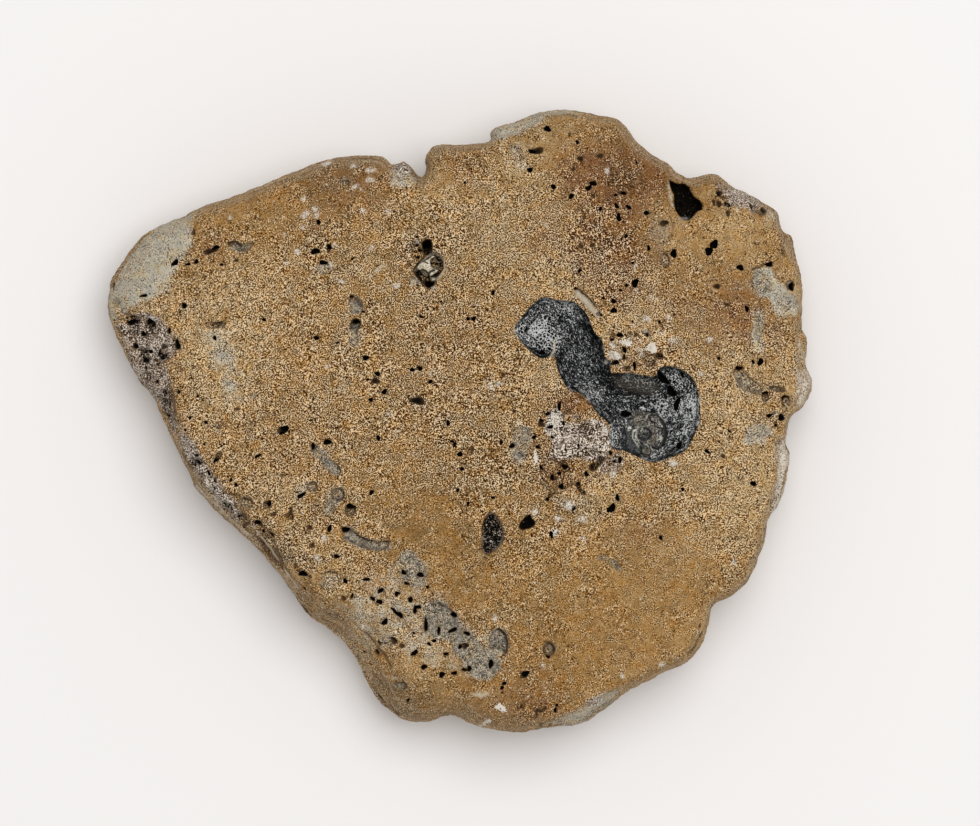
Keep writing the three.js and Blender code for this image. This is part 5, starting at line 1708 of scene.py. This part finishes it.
# ---------------------------------------------------------------------------------------------
# The broken shell
# ---------------------------------------------------------------------------------------------
SHELL_VOXEL = 0.06
SHELL_FACES = 40_000
SHELL_DUST, SHELL_WHITE = colour(140, 124, 98), colour(222, 212, 190)
SHELL_FLOOR_DARK, SHELL_FLOOR_PALE = colour(48, 42, 30), colour(122, 106, 76)
SHELL_RIM = [
    (414, 270), (416, 265), (421, 261), (429, 257), (434, 253), (438, 255), (443, 261),
    (444, 267), (441, 273), (436, 277), (431, 280), (426, 281), (421, 278), (418, 273),
]
SHELL_HOLLOWS = [  # (depth in mm, outline)
    (1.0, [(431, 259), (437, 257), (442, 262), (443, 268), (438, 271), (432, 268), (430, 263)]),
    (0.7, [(420, 271), (425, 270), (429, 274), (429, 279), (424, 279), (420, 275)]),
]
SHELL_LINES = [  # (width in squares, points)
    (2.0, [(429, 278), (429, 274), (431, 272), (434, 271)]),
    (1.6, [(431, 278), (435, 276), (439, 273)]),
    (2.6, [(432, 264), (437, 265)]),
    (1.0, [(424, 262), (428, 264)]),
    (1.0, [(419, 271), (424, 270), (428, 273)]),
]


def build_shell():
    low, high, grid = box_grid("shell_fragment", SHELL_VOXEL)
    x, y = grid[0][:, :, 0], grid[1][:, :, 0]
    margin = 2 * SHELL_VOXEL
    ragged = 0.1 * flat_noise(x, y, 0.9, SEED["shell"])
    edge = inside_distance(x, y, outline_in_box(SHELL_RIM, low + margin, high - margin))
    top = high[2] - 0.25 - 0.4 * (1 - np.clip(edge / 0.3, 0, 1)) ** 2 + ragged
    for depth, outline in SHELL_HOLLOWS:
        inner = inside_distance(x, y, smooth_closed(placed(outline), 3)) + ragged
        top = top - depth * (1 - (1 - np.clip(inner / 0.4, 0, 1)) ** 2)
    top = np.minimum(top - 0.4 * line_share(x, y, SHELL_LINES), high[2] - margin)
    points, quads = cut_from_top(top, edge, low, grid, SHELL_VOXEL)
    thing = make_object("shell", points, quads)
    thin_out(thing, SHELL_FACES)
    px, py, pz = points_of(thing)
    give(thing, "sunk", np.clip(high[2] - 0.3 - pz, 0, 2))
    give(thing, "line", line_share(px, py, SHELL_LINES))
    return dress(thing, "shell_fragment")


def pale_shell():
    r = Recipe("pale_shell")
    grain = r.noise(0.3, 2, 0.6)
    chalk = r.blend(r.ramp(grain, 0.38, 0.58), SHELL_DUST, SHELL_WHITE)
    floor = r.blend(r.ramp(grain, 0.38, 0.62), SHELL_FLOOR_DARK, SHELL_FLOOR_PALE)
    chalk = r.blend(r.ramp(r.attribute("sunk"), 0.15, 0.5), chalk, floor)
    chalk = r.blend(r.times(r.attribute("line"), 0.9), chalk, PIT)
    return r.finish(chalk, 0.75, grain, 0.08)


# ---------------------------------------------------------------------------------------------
# Floor, light and camera
# ---------------------------------------------------------------------------------------------
PICTURE_CENTRE = (490, 413)  # in squares, as the next
PICTURE_WIDTH = 980
FOCAL_LENGTH = 350
SENSOR_WIDTH = 36
FOCUS_HEIGHT = 0.66 * THICKNESS  # the level at which the picture is PICTURE_WIDTH wide
FLOOR_SIDE = 4  # metres, as the lamp's place and size
FLOOR_WHITE = colour(243, 241, 240)
SKY_LIGHT = (1, 0.99, 0.98, 1)
SKY_STRENGTH = 0.54
LAMP_PLACE = (0.35, 0.4, 1.9)
LAMP_SIZE = 1.5
LAMP_POWER = 22.5


def build_floor():
    bpy.ops.mesh.primitive_plane_add(size=FLOOR_SIDE)
    floor = bpy.context.object
    floor.name = "floor"
    r = Recipe("floor")
    r.shader.inputs["Base Color"].default_value = FLOOR_WHITE
    r.shader.inputs["Roughness"].default_value = 0.8
    floor.data.materials.append(r.material)


def build_light():
    world = bpy.data.worlds.new("studio")
    bpy.context.scene.world = world
    world.use_nodes = True
    sky = world.node_tree.nodes["Background"]
    sky.inputs["Color"].default_value = SKY_LIGHT
    sky.inputs["Strength"].default_value = SKY_STRENGTH
    lamp = bpy.data.lights.new("window", "AREA")
    lamp.shape = "DISK"
    lamp.size = LAMP_SIZE
    lamp.energy = LAMP_POWER
    window = bpy.data.objects.new("window", lamp)
    bpy.context.scene.collection.objects.link(window)
    window.location = LAMP_PLACE
    aim(window, (0, 0, 0))


def aim(thing, target):
    """Turns a lamp or camera, which looks down its own z axis, to the target."""
    away = np.array(thing.location) - np.array(target)
    thing.rotation_euler = (
        math.acos(away[2] / np.linalg.norm(away)), 0, math.atan2(away[0], -away[1]))


def build_camera():
    x, y = place(*PICTURE_CENTRE)
    lens = bpy.data.cameras.new("camera")
    lens.lens = FOCAL_LENGTH
    lens.sensor_width = SENSOR_WIDTH
    camera = bpy.data.objects.new("camera", lens)
    bpy.context.scene.collection.objects.link(camera)
    distance = PICTURE_WIDTH * SQUARE * FOCAL_LENGTH / SENSOR_WIDTH
    camera.location = (x / 1000, y / 1000, (FOCUS_HEIGHT + distance) / 1000)
    bpy.context.scene.camera = camera


bpy.context.scene.view_settings.view_transform = "Standard"
build_floor()
build_light()
build_camera()
build_stone().data.materials.append(limestone())
build_ammonite().data.materials.append(dark_fossil())
build_shell().data.materials.append(pale_shell())
